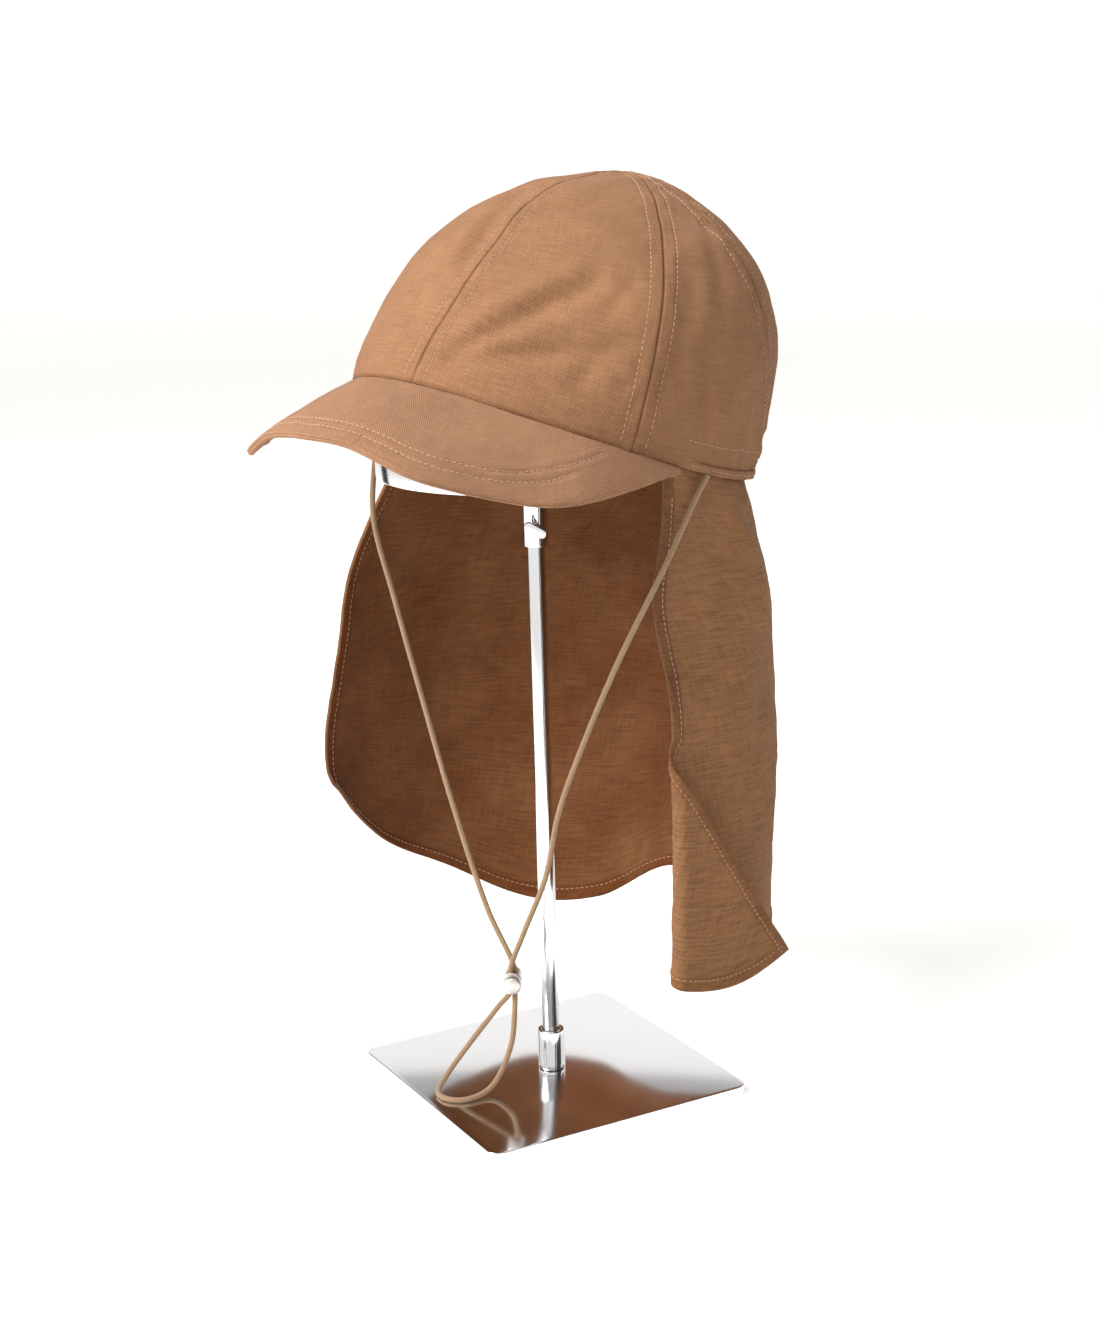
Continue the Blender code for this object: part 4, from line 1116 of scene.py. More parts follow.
def make_brim(colours):
    """The padded peak: one closed section with a rounded, seamed edge, carried along it."""
    columns, across_rows, turn_rows = 220, 84, 22
    edge = brim_edge()
    share = np.linspace(-1, 1, columns)
    inner, outer = (brim_top(share, np.full(columns, out), edge)[0] for out in (0.0, 1.0))
    width = np.linalg.norm(outer - inner, axis=-1)
    radius = np.minimum(BRIM_WALL / 2, 0.42 * width)
    tucked = np.minimum(BRIM_TUCK / width, 0.3)
    out = np.linspace(0, 1, across_rows)[:, None] * (1 - radius / width + tucked) - tucked
    shares = np.broadcast_to(share, out.shape)
    top, outward = brim_top(shares, out, edge)
    ahead = unit(top[-1] - top[-4])
    ahead = unit(ahead - outward[-1] * np.sum(ahead * outward[-1], axis=-1, keepdims=True))
    centre = top[-1] - outward[-1] * radius[:, None]
    rows = list(top)
    wear = [np.full(columns, 0.0)] * across_rows
    for turn in np.linspace(0, pi, turn_rows + 1)[1:]:
        groove = 0.0005 * bell(turn - radians(70), radians(11))
        lip = 0.0002 * bell(turn - radians(38), radians(22))
        reach = radius * (1 + (lip - groove) / (BRIM_WALL / 2))
        lean = outward[-1] * cos(turn) + ahead * sin(turn)
        rows.append(centre + lean * reach[:, None])
        wear.append(np.full(columns, max(0.0, sin(turn)) ** 2))
    under = 0.00025 * waviness(top, 60, 31.0)
    rows += list((top - outward * (2 * radius + under)[..., None])[-2::-1])
    wear += [np.full(columns, 0.0)] * (across_rows - 1)
    rows.append(rows[0])
    wear.append(wear[0])
    places = np.array(rows)[::-1]
    steps = np.linalg.norm(np.diff(places, axis=0, prepend=places[:1]), axis=-1)
    around = np.cumsum(steps, axis=0)
    along = np.broadcast_to(np.linspace(0, line_lengths(edge)[-1], columns), around.shape)
    masks = (("wear", np.array(wear)[::-1]),)
    made = sheet_mesh(places, np.stack((along, around), axis=-1), ring=True, masks=masks)
    cloth = cloth_material(
        "peak cloth", tuple(colours.peak_light), tuple(colours.peak_dark),
        pitch=0.0008, twill=0.75, slub=0.35, seed=7.0, depth=0.0004,
    )
    return add_piece("peak", made, cloth, "root", ("brim",))


def make_brim_stitches(sizes, colours):
    """The two rows of topstitching on the peak."""
    made = bmesh.new()
    edge = brim_edge()
    for line in brim_rows():
        places, outward = brim_top(line[:, 0], line[:, 1], edge)
        add_stitches(made, places, outward, sizes, sizes.thread_diameter * 0.15)
    paler = tuple(min(1.0, 1.15 * part) for part in colours.thread)
    thread = thread_material("peak thread", paler)
    return add_piece("peak_stitches", made, thread, "root")


def flap_runs():
    """The table of the flap as fine runs of rim angle, shoulder, middle place and hem place."""
    rows = []
    for _, angle, shoulder, *places in FLAP_STATIONS:
        middle_x, middle_y, middle_drop, hem_x, hem_y, hem_drop = places
        plan = (radians(angle), shoulder, middle_x, middle_y, hem_x, hem_y)
        levels = (FLAP_LEVEL - drop * FLAP_LENGTH for drop in (middle_drop, hem_drop))
        rows.append((*(FLAP_SPREAD * share for share in plan), *levels))
    return smooth_through(rows)


def flap_line(runs, drop):
    """The flap's plan at one level, as a fine line from its far edge to its fold."""
    tuck = CROWN_WALL + GAP + FLAP_WALL / 2 + GATHER_DEPTH
    angle, shoulder = runs[:, 0] / FLAP_SPREAD, runs[:, 1:2]
    top = rim_places(angle, tuck) - np.array((0, 0, FLAP_SHOWN))
    middle, hem = runs[:, (2, 3, 6)], runs[:, (4, 5, 7)]
    out = unit(np.concatenate([runs[:, 2:4], 0 * shoulder], axis=1))
    push = np.exp(-(((drop - SHOULDER_DROP) / SHOULDER_HALF_WIDTH) ** 2))
    blend = top * (1 - drop) * (1 - 2 * drop) + middle * 4 * drop * (1 - drop)
    return blend + hem * drop * (2 * drop - 1) + out * shoulder * push


def lapel_line(line, lapel):
    """The folded-back corner at one level: half a turn at the fold, then back along the side."""
    heading = line[-1] - line[-4]
    heading[2] = 0
    heading = unit(heading)
    side = np.array((-heading[1], heading[0], 0))
    gone = np.linspace(0, lapel, 61)[1:, None]
    turn = np.minimum(gone / LAPEL_TURN_RADIUS, pi)
    bend = line[-1] + LAPEL_TURN_RADIUS * (heading * np.sin(turn) + side * (1 - np.cos(turn)))
    straight = np.maximum(0.0, gone - pi * LAPEL_TURN_RADIUS)
    bend = bend - heading * straight + side * LAPEL_SPLAY * straight
    bend[:, 2] -= LAPEL_HEM_DIP * (lapel / LAPEL_REACH) * np.sin(pi * gone[:, 0] / LAPEL_REACH)
    return bend


def flap_grid(hem_width):
    """The flap's rows of places, the distance along each, and which columns and rows are hem."""
    runs = flap_runs()
    step = hem_width / FLAP_LENGTH
    drops = [*np.linspace(0, 1 - step - 0.012, 118), 1 - step - 0.0027]
    drops += [*np.linspace(1 - step, 1, HEM_ROWS)]
    rows, alongs = [], []
    for drop in drops:
        line = flap_line(runs, drop)
        fold = line_lengths(line)[-1]
        lapel = LAPEL_REACH * (drop - FLAP_FOLD_START) / (1 - FLAP_FOLD_START)
        if lapel > 0:
            line = np.concatenate([line, lapel_line(line, lapel)])
        whole = line_lengths(line)[-1]
        fold = min(fold, whole - LAPEL_LEAST)
        span = whole - fold
        turned_over = fold + min(pi * LAPEL_TURN_RADIUS, 0.35 * span)
        hem = whole - min(hem_width, 0.52 * span)
        wanted = [*np.linspace(0, hem_width, HEM_COLUMNS), hem_width + HEM_STEP]
        wanted += [*np.linspace(hem_width + 0.0025, fold, FOLD_COLUMN - HEM_COLUMNS)]
        wanted += [*np.linspace(fold, turned_over, 15)[1:]]
        wanted += [*np.linspace(turned_over, hem - HEM_STEP, 24)[1:]]
        wanted += [*np.linspace(hem, whole, HEM_COLUMNS)]
        rows.append(taken(line, wanted))
        alongs.append(wanted)
    rows.insert(0, rows[0] + np.array((0, 0, FLAP_SHOWN + FLAP_TUCK)))
    alongs.insert(0, alongs[0])
    places, along = np.array(rows), np.array(alongs)
    hemmed = np.zeros(places.shape[:2])
    hemmed[-HEM_ROWS:] = 1
    hemmed[:, :HEM_COLUMNS] = 1
    hemmed[:, -HEM_COLUMNS:] = 1
    return places, along, np.array([drops[0], *drops]), hemmed


def flap_places(sizes):
    """The flap's grid with its folds, creases and waves."""
    places, along, drops, hemmed = flap_grid(sizes.hem_width)
    outward = facing(places)
    height = np.zeros(places.shape[:2])
    rows, columns = np.arange(len(drops)), np.arange(places.shape[1])
    for _, depth, half_width, line in FLAP_LINES:
        across, drop = smooth_through(line).T
        row = np.interp(drop, drops[1:], rows[1:])
        column = np.clip(across * FOLD_COLUMN, 0, columns[-1])
        near = places[np.rint(row).astype(int), np.rint(column).astype(int)]
        height += depth * felt_line(places, near[::3], half_width)
    loose = np.clip(drops * 6, 0, 1)[:, None]
    stretched = places * np.array((1.0, 1.0, 0.35))
    height += loose * 0.0020 * waviness(stretched, 24, 41.0)
    height += loose * waves(places, FLAP_WAVES)
    gathered = bell(drops, 0.10)[:, None] * loose
    height += 0.0012 * gathered * np.cos(along * 2 * pi / 0.021 + 2.5 * waviness(places, 18, 51.0))
    edge = np.minimum(drops[:, None], 1) ** 6
    height += 0.0011 * edge * waviness(places, 42, 61.0)
    return places + outward * height[..., None], outward, along, drops, hemmed


def flap_cloth(colours, name, mask, painted_shade):
    """The flap's thinner, slubbier cloth, darkened with painted shade where a mask says so."""
    return cloth_material(
        name, tuple(colours.flap_light), tuple(colours.flap_dark),
        pitch=0.00070, twill=0.45, slub=0.75, seed=13.0, painted_shade=painted_shade, mask=mask,
    )


def make_flap(sizes, colours):
    """The neck flap, hemmed on three sides, with its near front corner folded back."""
    places, outward, along, drops, hemmed = flap_places(sizes)
    down = np.broadcast_to(drops[:, None] * FLAP_LENGTH, along.shape)
    # Painted shade: the flap's inside, shaded by the cap, is darkened and warmed through one mask,
    # all but the turned-back corner, which faces the light; the doubled hem is darkened on both
    # faces.
    turned_back = np.arange(places.shape[1])[None] / FOLD_COLUMN
    inside = 1 / (1 + np.exp((turned_back - 0.985) / 0.008)) * np.ones_like(down)
    masks = (("hem", hemmed[::-1]), ("painted_shade", (0.85 * inside + 0.45 * hemmed)[::-1]))
    made = sheet_mesh(places[::-1], np.stack((along, -down), axis=-1)[::-1], masks=masks)
    # The inner faces take the darker, warmer painted shade; the outer faces take a lighter painted
    # shade along the hem.
    inner = flap_cloth(colours, "flap cloth inside with painted shade", "painted_shade", (0.62, 0.40, 0.22))
    flap = add_piece("flap_cloth", made, inner, "root", ("neck_flap",))
    flap.data.materials.append(flap_cloth(colours, "flap cloth", "hem", (0.62, 0.55, 0.50)))
    weights = np.empty(len(flap.data.vertices))
    flap.data.attributes["hem"].data.foreach_get("value", weights)
    hem = flap.vertex_groups.new(name="hem")
    hem.add([int(index) for index in np.flatnonzero(weights > 0.3)], 1.0, "REPLACE")
    thin_share = sizes.cloth_thickness / sizes.hem_thickness
    wall = thicken(flap, sizes.hem_thickness, 0, hem.name, thin_share)
    wall.material_offset = 1
    wall.material_offset_rim = 1
    threads = bmesh.new()
    lift = sizes.hem_thickness / 2 + sizes.thread_diameter * 0.1
    runs = (
        (places[-5, 1:-1], outward[-5, 1:-1]),
        (places[8:-1, 3], outward[8:-1, 3]),
        (places[8:-1, -4], outward[8:-1, -4]),
    )
    for line, out in runs:
        for side in (1, -1):
            add_stitches(threads, line, side * out, sizes, lift)
    thread = thread_material("flap thread", tuple(0.95 * part for part in colours.thread))
    stitches = add_piece("flap_stitches", threads, thread, "root")
    return flap


def stopper_place(along, across, up):
    """A point given by its place along the stopper's button, across it and up from its middle."""
    ahead = Vector((sin(STOPPER_TURN), -cos(STOPPER_TURN), 0))
    side = Vector((cos(STOPPER_TURN), sin(STOPPER_TURN), 0))
    return STOPPER_PLACE + along * ahead + across * side + Vector((0, 0, up))


def cord_route(count):
    """The cord's points: the table, with its ends at the cap's edge and its passes of the lock."""
    reach = 0.6 * BARREL_DIAMETER
    reckoned = {
        "far_start": rim_places(FAR_CORD_ANGLE, FAR_CORD_INSET) + np.array((0, 0, FAR_CORD_LIFT)),
        "far_lock_top": stopper_place(-STRAND_ALONG, STRAND_ACROSS, reach),
        "far_lock_foot": stopper_place(-STRAND_ALONG, STRAND_ACROSS, -reach),
        "near_lock_top": stopper_place(STRAND_ALONG, -STRAND_ACROSS, reach),
        "near_lock_foot": stopper_place(STRAND_ALONG, -STRAND_ACROSS, -reach),
        "near_start": rim_places(NEAR_CORD_ANGLE, NEAR_CORD_INSET) - np.array((0, 0, CORD_DROP)),
    }
    route = smooth_through([tuple(reckoned.get(name, (x, y, z))) for name, x, y, z in CORD_ROUTE])
    return taken(route, np.linspace(0, line_lengths(route)[-1], count))


def make_cord(sizes, colours):
    """The braided chin cord as a tube along its route."""
    line = cord_route(480)
    runs = unit(np.gradient(line, axis=0))
    side = [np.cross(runs[0], (0.0, 1.0, 0.0))]
    for run in runs[1:]:
        side.append(side[-1] - run * (run @ side[-1]))
    side = unit(np.array(side))
    up = np.cross(runs, side)
    turns = np.linspace(0, 2 * pi, 17)
    section = np.stack((np.cos(turns), np.sin(turns)), axis=-1) * sizes.cord_diameter / 2
    made = swept(line, side, up, section)
    material, shader, surface = new_material(
        "cord", tuple(colours.cord_light), Sheen_Weight=0.3, Specular_IOR_Level=0.3
    )
    metres = shader.add("ShaderNodeUVMap", uv_map="metres").outputs[0]
    braid = shader.group("braid", braid_group, {
        "Vector": metres, "Strand Pitch": pi * sizes.cord_diameter / CORD_STRANDS,
        "Light": (*colours.cord_light, 1.0), "Dark": (*colours.cord_dark, 1.0),
    }).outputs
    shader.feed(surface, {
        "Base Color": braid["Color"], "Roughness": shader.ramp(braid["Height"], 0.0, 1.0, 0.9, 0.6),
        "Normal": shader.bump(braid["Height"], 0.0003, 0.9),
    })
    cord = add_piece("chin_cord_braid", made, material, "root", ("chin_cord",))
    return cord


def lay_on_button_axis(made):
    """Turns a shape made along Z so that Z runs out through the stopper's button."""
    turn = Matrix.Rotation(STOPPER_TURN, 4, "Z") @ Matrix.Rotation(pi / 2, 4, "X")
    place = Matrix.Translation(STOPPER_PLACE) @ turn
    bmesh.ops.transform(made, matrix=place, verts=made.verts)
    return made


def make_stopper():
    """The spring stopper's grooved barrel and its domed button."""
    outer, bore, edge = BARREL_DIAMETER / 2, BARREL_BORE / 2, 0.0006
    profile = [(0, BARREL_BACK), (outer - edge, BARREL_BACK), (outer, BARREL_BACK + edge)]
    for groove in (-0.0052, 0.0042):
        profile += [
            (outer, groove - 0.0004), (outer - 0.0003, groove - 0.0001),
            (outer - 0.0003, groove + 0.0001), (outer, groove + 0.0004),
        ]
    profile += [
        (outer, BARREL_FRONT - edge), (outer - edge * 0.3, BARREL_FRONT - edge * 0.3),
        (outer - edge, BARREL_FRONT), (bore, BARREL_FRONT), (bore, BARREL_BACK + BARREL_FLOOR),
        (0, BARREL_BACK + BARREL_FLOOR),
    ]
    hole = soften(box(HOLE_WIDTH, 2 * BARREL_DIAMETER, 2 * HOLE_HALF_LENGTH), 0.0012, 4)
    barrel = lay_on_button_axis(cut(turned(profile, 64), hole))
    add_piece("stopper_barrel_metal", barrel, nickel(), "root", ("stopper_barrel",))
    shaft, head = PLUNGER_DIAMETER / 2, HEAD_DIAMETER / 2
    dome = [
        (head * cos(lean), PLUNGER_HEAD + HEAD_THICK * (0.4 + 0.6 * sin(lean)))
        for lean in np.linspace(0, pi / 2, 14)[:-1]
    ]
    profile = [
        (0, PLUNGER_BACK), (shaft, PLUNGER_BACK), (shaft, PLUNGER_HEAD),
        (head - 0.0002, PLUNGER_HEAD), (head, PLUNGER_HEAD + 0.0002), *dome,
        (0, PLUNGER_HEAD + HEAD_THICK),
    ]
    length = 2 * HOLE_HALF_LENGTH + PLUNGER_TRAVEL
    slot = box(HOLE_WIDTH, 2 * BARREL_DIAMETER, length, (0, 0, PLUNGER_TRAVEL / 2))
    button = lay_on_button_axis(cut(turned(profile, 64), slot))
    return add_piece("stopper_button", button, nickel(), "plunger", ("stopper_plunger",))


def screw_axis():
    """Turns Z so that it runs out along the clamp screw."""
    turn = Matrix.Rotation(SCREW_TURN, 4, "Z") @ Matrix.Rotation(pi / 2, 4, "X")
    return Matrix.Translation((0, 0, SCREW_HEIGHT)) @ turn


def bevel_upright(made, thick, offset, segments):
    """Rounds the edges of a box that run along its thickness."""
    upright = [e for e in made.edges if abs(e.verts[0].co.z - e.verts[1].co.z) > thick / 2]
    bmesh.ops.bevel(
        made, geom=upright, offset=offset, segments=segments, profile=0.5, affect="EDGES",
        material=-1,
    )


def make_plate():
    """The square base plate with rounded corners."""
    made = box(PLATE_SIDE, PLATE_SIDE, PLATE_THICK, (0, 0, PLATE_THICK / 2))
    bevel_upright(made, PLATE_THICK, PLATE_CORNER, 14)
    soften(made, PLATE_THICK / 9, 3, radians(60))
    turn = Matrix.Rotation(PLATE_TURN, 3, "Z")
    bmesh.ops.rotate(made, cent=(0, 0, 0), matrix=turn, verts=made.verts)
    add_piece("plate_polished", made, chrome(), "root", ("base_plate",), radians(25))


def make_post():
    """The post, the collar at its foot and the sleeve at its top."""
    foot, top = (corner.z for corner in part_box("post"))
    radius = POST_DIAMETER / 2
    rod = turned(((0, foot), (radius, foot), (radius, top), (0, top)))
    add_piece("post_polished", soften(rod, 0.0004), chrome(), "root", ("post",))
    foot, top = (corner.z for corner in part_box("base_collar"))
    inner, outer = radius + GAP, COLLAR_DIAMETER / 2
    collar = turned((
        (inner, foot), (outer, foot), (outer, foot + 0.0016), (outer - 0.0005, foot + 0.0019),
        (outer - 0.0005, foot + 0.0023), (outer, foot + 0.0026), (outer, top), (inner, top),
    ))
    soften(collar, 0.0005, 3, radians(60))
    add_piece("collar_polished", collar, chrome(), "root", ("base_collar",))
    foot, top = (corner.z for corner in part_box("sleeve"))
    outer, stop = SLEEVE_DIAMETER / 2, POST_TOP + GAP
    profile = ((0, top), (outer, top), (outer, foot), (inner, foot), (inner, stop), (0, stop))
    sleeve = soften(turned(profile), 0.0005, 3)
    add_piece("sleeve_polished", sleeve, chrome(), "root", ("sleeve",))


def make_screw():
    """The clamp screw: a shank, a small boss and a flat paddle with rounded ends."""
    start, stop = POST_DIAMETER / 2 + GAP, SLEEVE_DIAMETER / 2 + SCREW_REACH
    radius, skin = SCREW_SHANK / 2, SLEEVE_DIAMETER / 2
    made = turned((
        (0, start), (radius, start), (radius, skin + 0.0004), (radius + 0.0008, skin + 0.0006),
        (radius + 0.0008, skin + 0.0018), (radius, skin + 0.0022), (radius * 0.85, stop),
        (0, stop),
    ), 48)
    paddle = box(PADDLE_LENGTH, PADDLE_WIDTH, PADDLE_THICK, (0, 0, stop))
    bevel_upright(paddle, PADDLE_THICK, PADDLE_WIDTH * 0.45, 8)
    soften(paddle, PADDLE_THICK / 4, 3, radians(60))
    turn = Matrix.Rotation(PADDLE_TILT, 4, "Z")
    bmesh.ops.transform(paddle, matrix=turn, verts=paddle.verts)
    mesh = bpy.data.meshes.new("paddle")
    paddle.to_mesh(mesh)
    paddle.free()
    made.from_mesh(mesh)
    bpy.data.meshes.remove(mesh)
    bmesh.ops.transform(made, matrix=screw_axis(), verts=made.verts)
    add_piece("screw_polished", made, chrome(), "root", ("clamp_screw",))


def make_head_frame():
    """The ring, two crossed arches and the hub that carry the crown."""
    foot = RING_FOOT + RING_HEIGHT
    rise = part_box("head_frame")[1].z - foot
    turns = np.linspace(0, 2 * pi, 193)
    around = np.stack((np.cos(turns), np.sin(turns), 0 * turns), axis=-1)
    middle = RING_RADIUS - STRIP_THICK / 2
    section = rounded_section(STRIP_THICK, RING_HEIGHT, STRIP_THICK * 0.45)
    upward = np.broadcast_to((0.0, 0.0, 1.0), around.shape)
    line = around * middle + np.array((0, 0, RING_FOOT + RING_HEIGHT / 2))
    made = swept(line, around, upward, section)
    section = rounded_section(STRIP_THICK, ARCH_WIDTH, STRIP_THICK * 0.45)
    mesh = bpy.data.meshes.new("arch")
    for turn, lower in ((0.0, 0.0), (pi / 2, 0.0002)):
        lean = np.linspace(0, pi, 61)
        reach = RING_RADIUS - STRIP_THICK * 0.75
        x, z = reach * np.cos(lean), foot + (rise - lower - STRIP_THICK / 2) * np.sin(lean)
        x = np.concatenate([[x[0]], x, [x[-1]]])
        z = np.concatenate([[foot - ARCH_LEG], z, [foot - ARCH_LEG]])
        ahead = np.array((cos(turn), sin(turn), 0))
        line = x[:, None] * ahead + z[:, None] * np.array((0, 0, 1))
        runs = unit(np.gradient(line, axis=0))
        side = np.broadcast_to((-sin(turn), cos(turn), 0), line.shape)
        arch = swept(line, np.cross(side, runs), side, section)
        arch.to_mesh(mesh)
        arch.free()
        made.from_mesh(mesh)
    bpy.data.meshes.remove(mesh)
    top = foot + rise - STRIP_THICK
    low, high, radius = top - HUB_DROP, top + 0.0004, HUB_DIAMETER / 2
    hub = soften(turned(((0, low), (radius, low), (radius, high), (0, high))), 0.0006, 3)
    add_piece("hub_polished", hub, chrome(), "root")
    add_piece("head_frame_polished", made, chrome(), "root", ("head_frame",))


def camera_axes():
    """The camera's right, up and back directions."""
    back = Vector((
        sin(AZIMUTH) * cos(ELEVATION), -cos(AZIMUTH) * cos(ELEVATION), sin(ELEVATION)
    ))
    level = Vector((cos(AZIMUTH), sin(AZIMUTH), 0))
    upright = back.cross(level)
    right = level * cos(ROLL) + upright * sin(ROLL)
    return right, back.cross(right), back, level


def add_camera():
    """The camera, placed as the photograph was taken."""
    right, up, back, level = camera_axes()
    place = level * LOOK_ACROSS + Vector((0, 0, LOOK_HEIGHT)) + back * DISTANCE
    lens = bpy.data.cameras.new("camera")
    lens.lens = LENS
    lens.sensor_width = 36.0
    lens.sensor_fit = "AUTO"
    lens.clip_start = 0.01
    camera = bpy.data.objects.new("camera", lens)
    bpy.context.scene.collection.objects.link(camera)
    camera.matrix_world = Matrix((
        (right.x, up.x, back.x, place.x),
        (right.y, up.y, back.y, place.y),
        (right.z, up.z, back.z, place.z),
        (0, 0, 0, 1),
    ))
    bpy.context.scene.camera = camera


def add_light(name, azimuth, elevation, distance, size, power):
    """A square soft light seen from the stand at an angle round from the camera's side."""
    turn = AZIMUTH + radians(azimuth)
    lift = radians(elevation)
    way = Vector((sin(turn) * cos(lift), -cos(turn) * cos(lift), sin(lift)))
    light = bpy.data.lights.new(name, "AREA")
    light.shape = "SQUARE"
    light.size = size
    light.energy = power
    lamp = bpy.data.objects.new(name, light)
    bpy.context.scene.collection.objects.link(lamp)
    lamp.location = LIGHT_AIM + way * distance
    lamp.rotation_euler = way.to_track_quat("Z", "Y").to_euler()


def add_floor(colours):
    """A pale floor whose far edge curves up, so that no horizon shows."""
    made = bmesh.new()
    profile = [(0.0, 0.0), (FLOOR_REACH, 0.0)]
    profile += [
        (FLOOR_REACH + FLOOR_BEND * sin(lean), FLOOR_BEND - FLOOR_BEND * cos(lean))
        for lean in np.linspace(0.1, pi / 2, 14)
    ]
    profile.append((FLOOR_REACH + FLOOR_BEND, FLOOR_RIM))
    points = [made.verts.new((reach, 0.0, height)) for reach, height in profile]
    edges = [made.edges.new(pair) for pair in zip(points, points[1:])]
    bmesh.ops.spin(
        made, geom=points + edges, axis=(0, 0, 1), cent=(0, 0, 0), angle=2 * pi, steps=96,
        use_merge=True, use_duplicate=False,
    )
    bmesh.ops.remove_doubles(made, verts=made.verts, dist=1e-5)
    bmesh.ops.recalc_face_normals(made, faces=made.faces)
    bmesh.ops.reverse_faces(made, faces=made.faces)
    bmesh.ops.translate(made, vec=(0, 0, -0.0002), verts=made.verts)
    mesh = bpy.data.meshes.new("floor")
    made.to_mesh(mesh)
    made.free()
    mesh.shade_smooth()
    finish, shader, surface = new_material("floor", tuple(colours.floor), Specular_IOR_Level=0.1)
    where = shader.add("ShaderNodeTexCoord").outputs["Object"]
    light = (*colours.floor, 1.0)
    dark = (*[0.985 * part for part in colours.floor], 1.0)
    tone = shader.noise(where, 3.0, 2.0)
    diffuse = shader.add("ShaderNodeLightPath").outputs["Is Diffuse Ray"]
    glow = shader.maths("MULTIPLY", shader.maths("SUBTRACT", 1.0, diffuse), FLOOR_GLOW)
    shader.feed(surface, {
        "Base Color": shader.mix(tone, dark, light), "Roughness": 0.9,
        "Emission Color": FLOOR_GLOW_COLOUR, "Emission Strength": glow,
    })
    mesh.materials.append(finish)
    floor = bpy.data.objects.new("floor", mesh)
    bpy.context.scene.collection.objects.link(floor)


def add_dark_card(name, azimuth, distance, width):
    """A dark upright card that only shows as a strip in the chrome."""
    turn = AZIMUTH + radians(azimuth)
    made = box(width, 0.004, CARD_HEIGHT, (0, 0, CARD_HEIGHT / 2))
    place = Matrix.Translation((sin(turn) * distance, -cos(turn) * distance, 0))
    bmesh.ops.transform(made, matrix=place @ Matrix.Rotation(turn, 4, "Z"), verts=made.verts)
    mesh = bpy.data.meshes.new(name)
    made.to_mesh(mesh)
    made.free()
    finish, _, surface = new_material("dark card", CARD_COLOUR[:3], Roughness=0.9)
    surface.inputs["Base Color"].default_value = CARD_COLOUR
    mesh.materials.append(finish)
    card = bpy.data.objects.new(name, mesh)
    bpy.context.scene.collection.objects.link(card)
    card.visible_camera = False
    card.visible_diffuse = False
    card.visible_shadow = False


def add_surround(strength):
    """An even pale surround."""
    world = bpy.data.worlds.new("surround")
    bpy.context.scene.world = world
    world.use_nodes = True
    background = world.node_tree.nodes["Background"]
    background.inputs["Color"].default_value = (1.0, 0.985, 0.965, 1.0)
    background.inputs["Strength"].default_value = strength


class CAP_OT_stage(bpy.types.Operator):
    """Adds the floor, the soft lights, the dark cards and the camera"""

    bl_idname = "cap.stage"
    bl_label = "Stage"

    def execute(self, context):
        lights = context.scene.cap_lights
        context.scene.view_settings.view_transform = "Standard"
        add_camera()
        add_floor(context.scene.cap_colours)
        add_surround(lights.surround)
        add_light("key", -62, 42, 1.7, 1.1, lights.key_power)
        add_light("fill", 35, 68, 1.6, 1.2, lights.fill_power)
        add_dark_card("card_left", -128, 0.50, 0.10)
        add_dark_card("card_front", 33, 0.60, 0.10)
        add_dark_card("card_right", 64, 0.42, 0.34)
        return {"FINISHED"}


class CAP_OT_crown(bpy.types.Operator):
    """Builds the six-panel crown and its topstitching"""

    bl_idname = "cap.crown"
    bl_label = "Crown"

    def execute(self, context):
        make_crown(context.scene.cap_sizes, context.scene.cap_colours)
        make_crown_stitches(context.scene.cap_sizes, context.scene.cap_colours)
        return {"FINISHED"}


class CAP_OT_binding(bpy.types.Operator):
    """Builds the stitched band round the back of the crown"""

    bl_idname = "cap.binding"
    bl_label = "Binding"

    def execute(self, context):
        make_binding(context.scene.cap_sizes, context.scene.cap_colours)
        return {"FINISHED"}


class CAP_OT_peak(bpy.types.Operator):
    """Builds the padded peak and its stitching"""

    bl_idname = "cap.peak"
    bl_label = "Peak"

    def execute(self, context):
        make_brim(context.scene.cap_colours)
        make_brim_stitches(context.scene.cap_sizes, context.scene.cap_colours)
        return {"FINISHED"}


class CAP_OT_flap(bpy.types.Operator):
    """Builds the hemmed neck flap and its stitching"""

    bl_idname = "cap.flap"
    bl_label = "Neck flap"

    def execute(self, context):
        make_flap(context.scene.cap_sizes, context.scene.cap_colours)
        return {"FINISHED"}


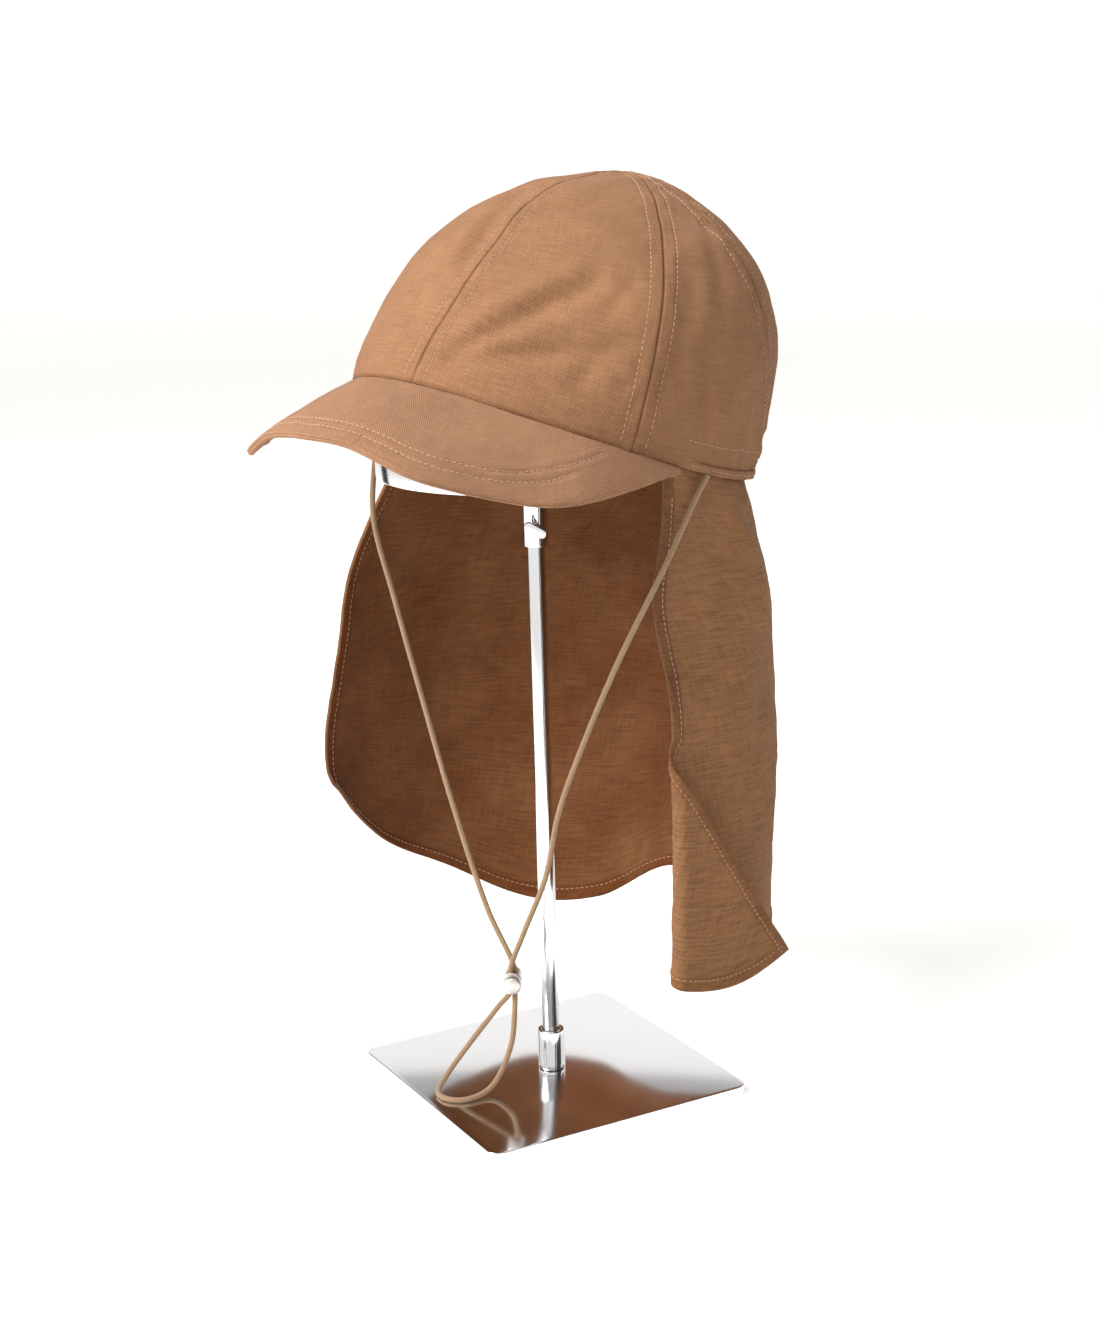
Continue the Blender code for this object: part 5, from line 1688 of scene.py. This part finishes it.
class CAP_OT_cord(bpy.types.Operator):
    """Builds the braided chin cord"""

    bl_idname = "cap.cord"
    bl_label = "Chin cord"

    def execute(self, context):
        make_cord(context.scene.cap_sizes, context.scene.cap_colours)
        return {"FINISHED"}


class CAP_OT_stopper(bpy.types.Operator):
    """Builds the spring stopper on the cord"""

    bl_idname = "cap.stopper"
    bl_label = "Stopper"

    def execute(self, context):
        make_stopper()
        return {"FINISHED"}


class CAP_OT_stand(bpy.types.Operator):
    """Builds the chrome stand: plate, post, sleeve, screw and head frame"""

    bl_idname = "cap.stand"
    bl_label = "Hat stand"

    def execute(self, context):
        make_plate()
        make_post()
        make_screw()
        make_head_frame()
        return {"FINISHED"}


OPERATORS = (
    CAP_OT_stage, CAP_OT_cord, CAP_OT_crown, CAP_OT_binding, CAP_OT_peak, CAP_OT_flap,
    CAP_OT_stopper, CAP_OT_stand,
)
SETTINGS = (("cap_sizes", CapSizes), ("cap_colours", CapColours), ("cap_lights", StageLights))


class CAP_PT_panel(bpy.types.Panel):
    """Lists the cap's pieces and settings"""

    bl_idname = "CAP_PT_panel"
    bl_label = "Legionnaire cap"
    bl_space_type = "VIEW_3D"
    bl_region_type = "UI"
    bl_category = "Cap"

    def draw(self, context):
        for operator in OPERATORS:
            self.layout.operator(operator.bl_idname)
        for name, kind in SETTINGS:
            for setting in kind.__annotations__:
                self.layout.prop(getattr(context.scene, name), setting)


def register():
    for name, kind in SETTINGS:
        bpy.utils.register_class(kind)
        setattr(bpy.types.Scene, name, PointerProperty(type=kind))
    for kind in (*OPERATORS, CAP_PT_panel):
        bpy.utils.register_class(kind)


def unregister():
    for kind in (CAP_PT_panel, *reversed(OPERATORS)):
        bpy.utils.unregister_class(kind)
    for name, kind in reversed(SETTINGS):
        delattr(bpy.types.Scene, name)
        bpy.utils.unregister_class(kind)


def main():
    register()
    for operator in OPERATORS:
        group, name = operator.bl_idname.split(".")
        getattr(getattr(bpy.ops, group), name)()


if __name__ == "__main__":
    main()
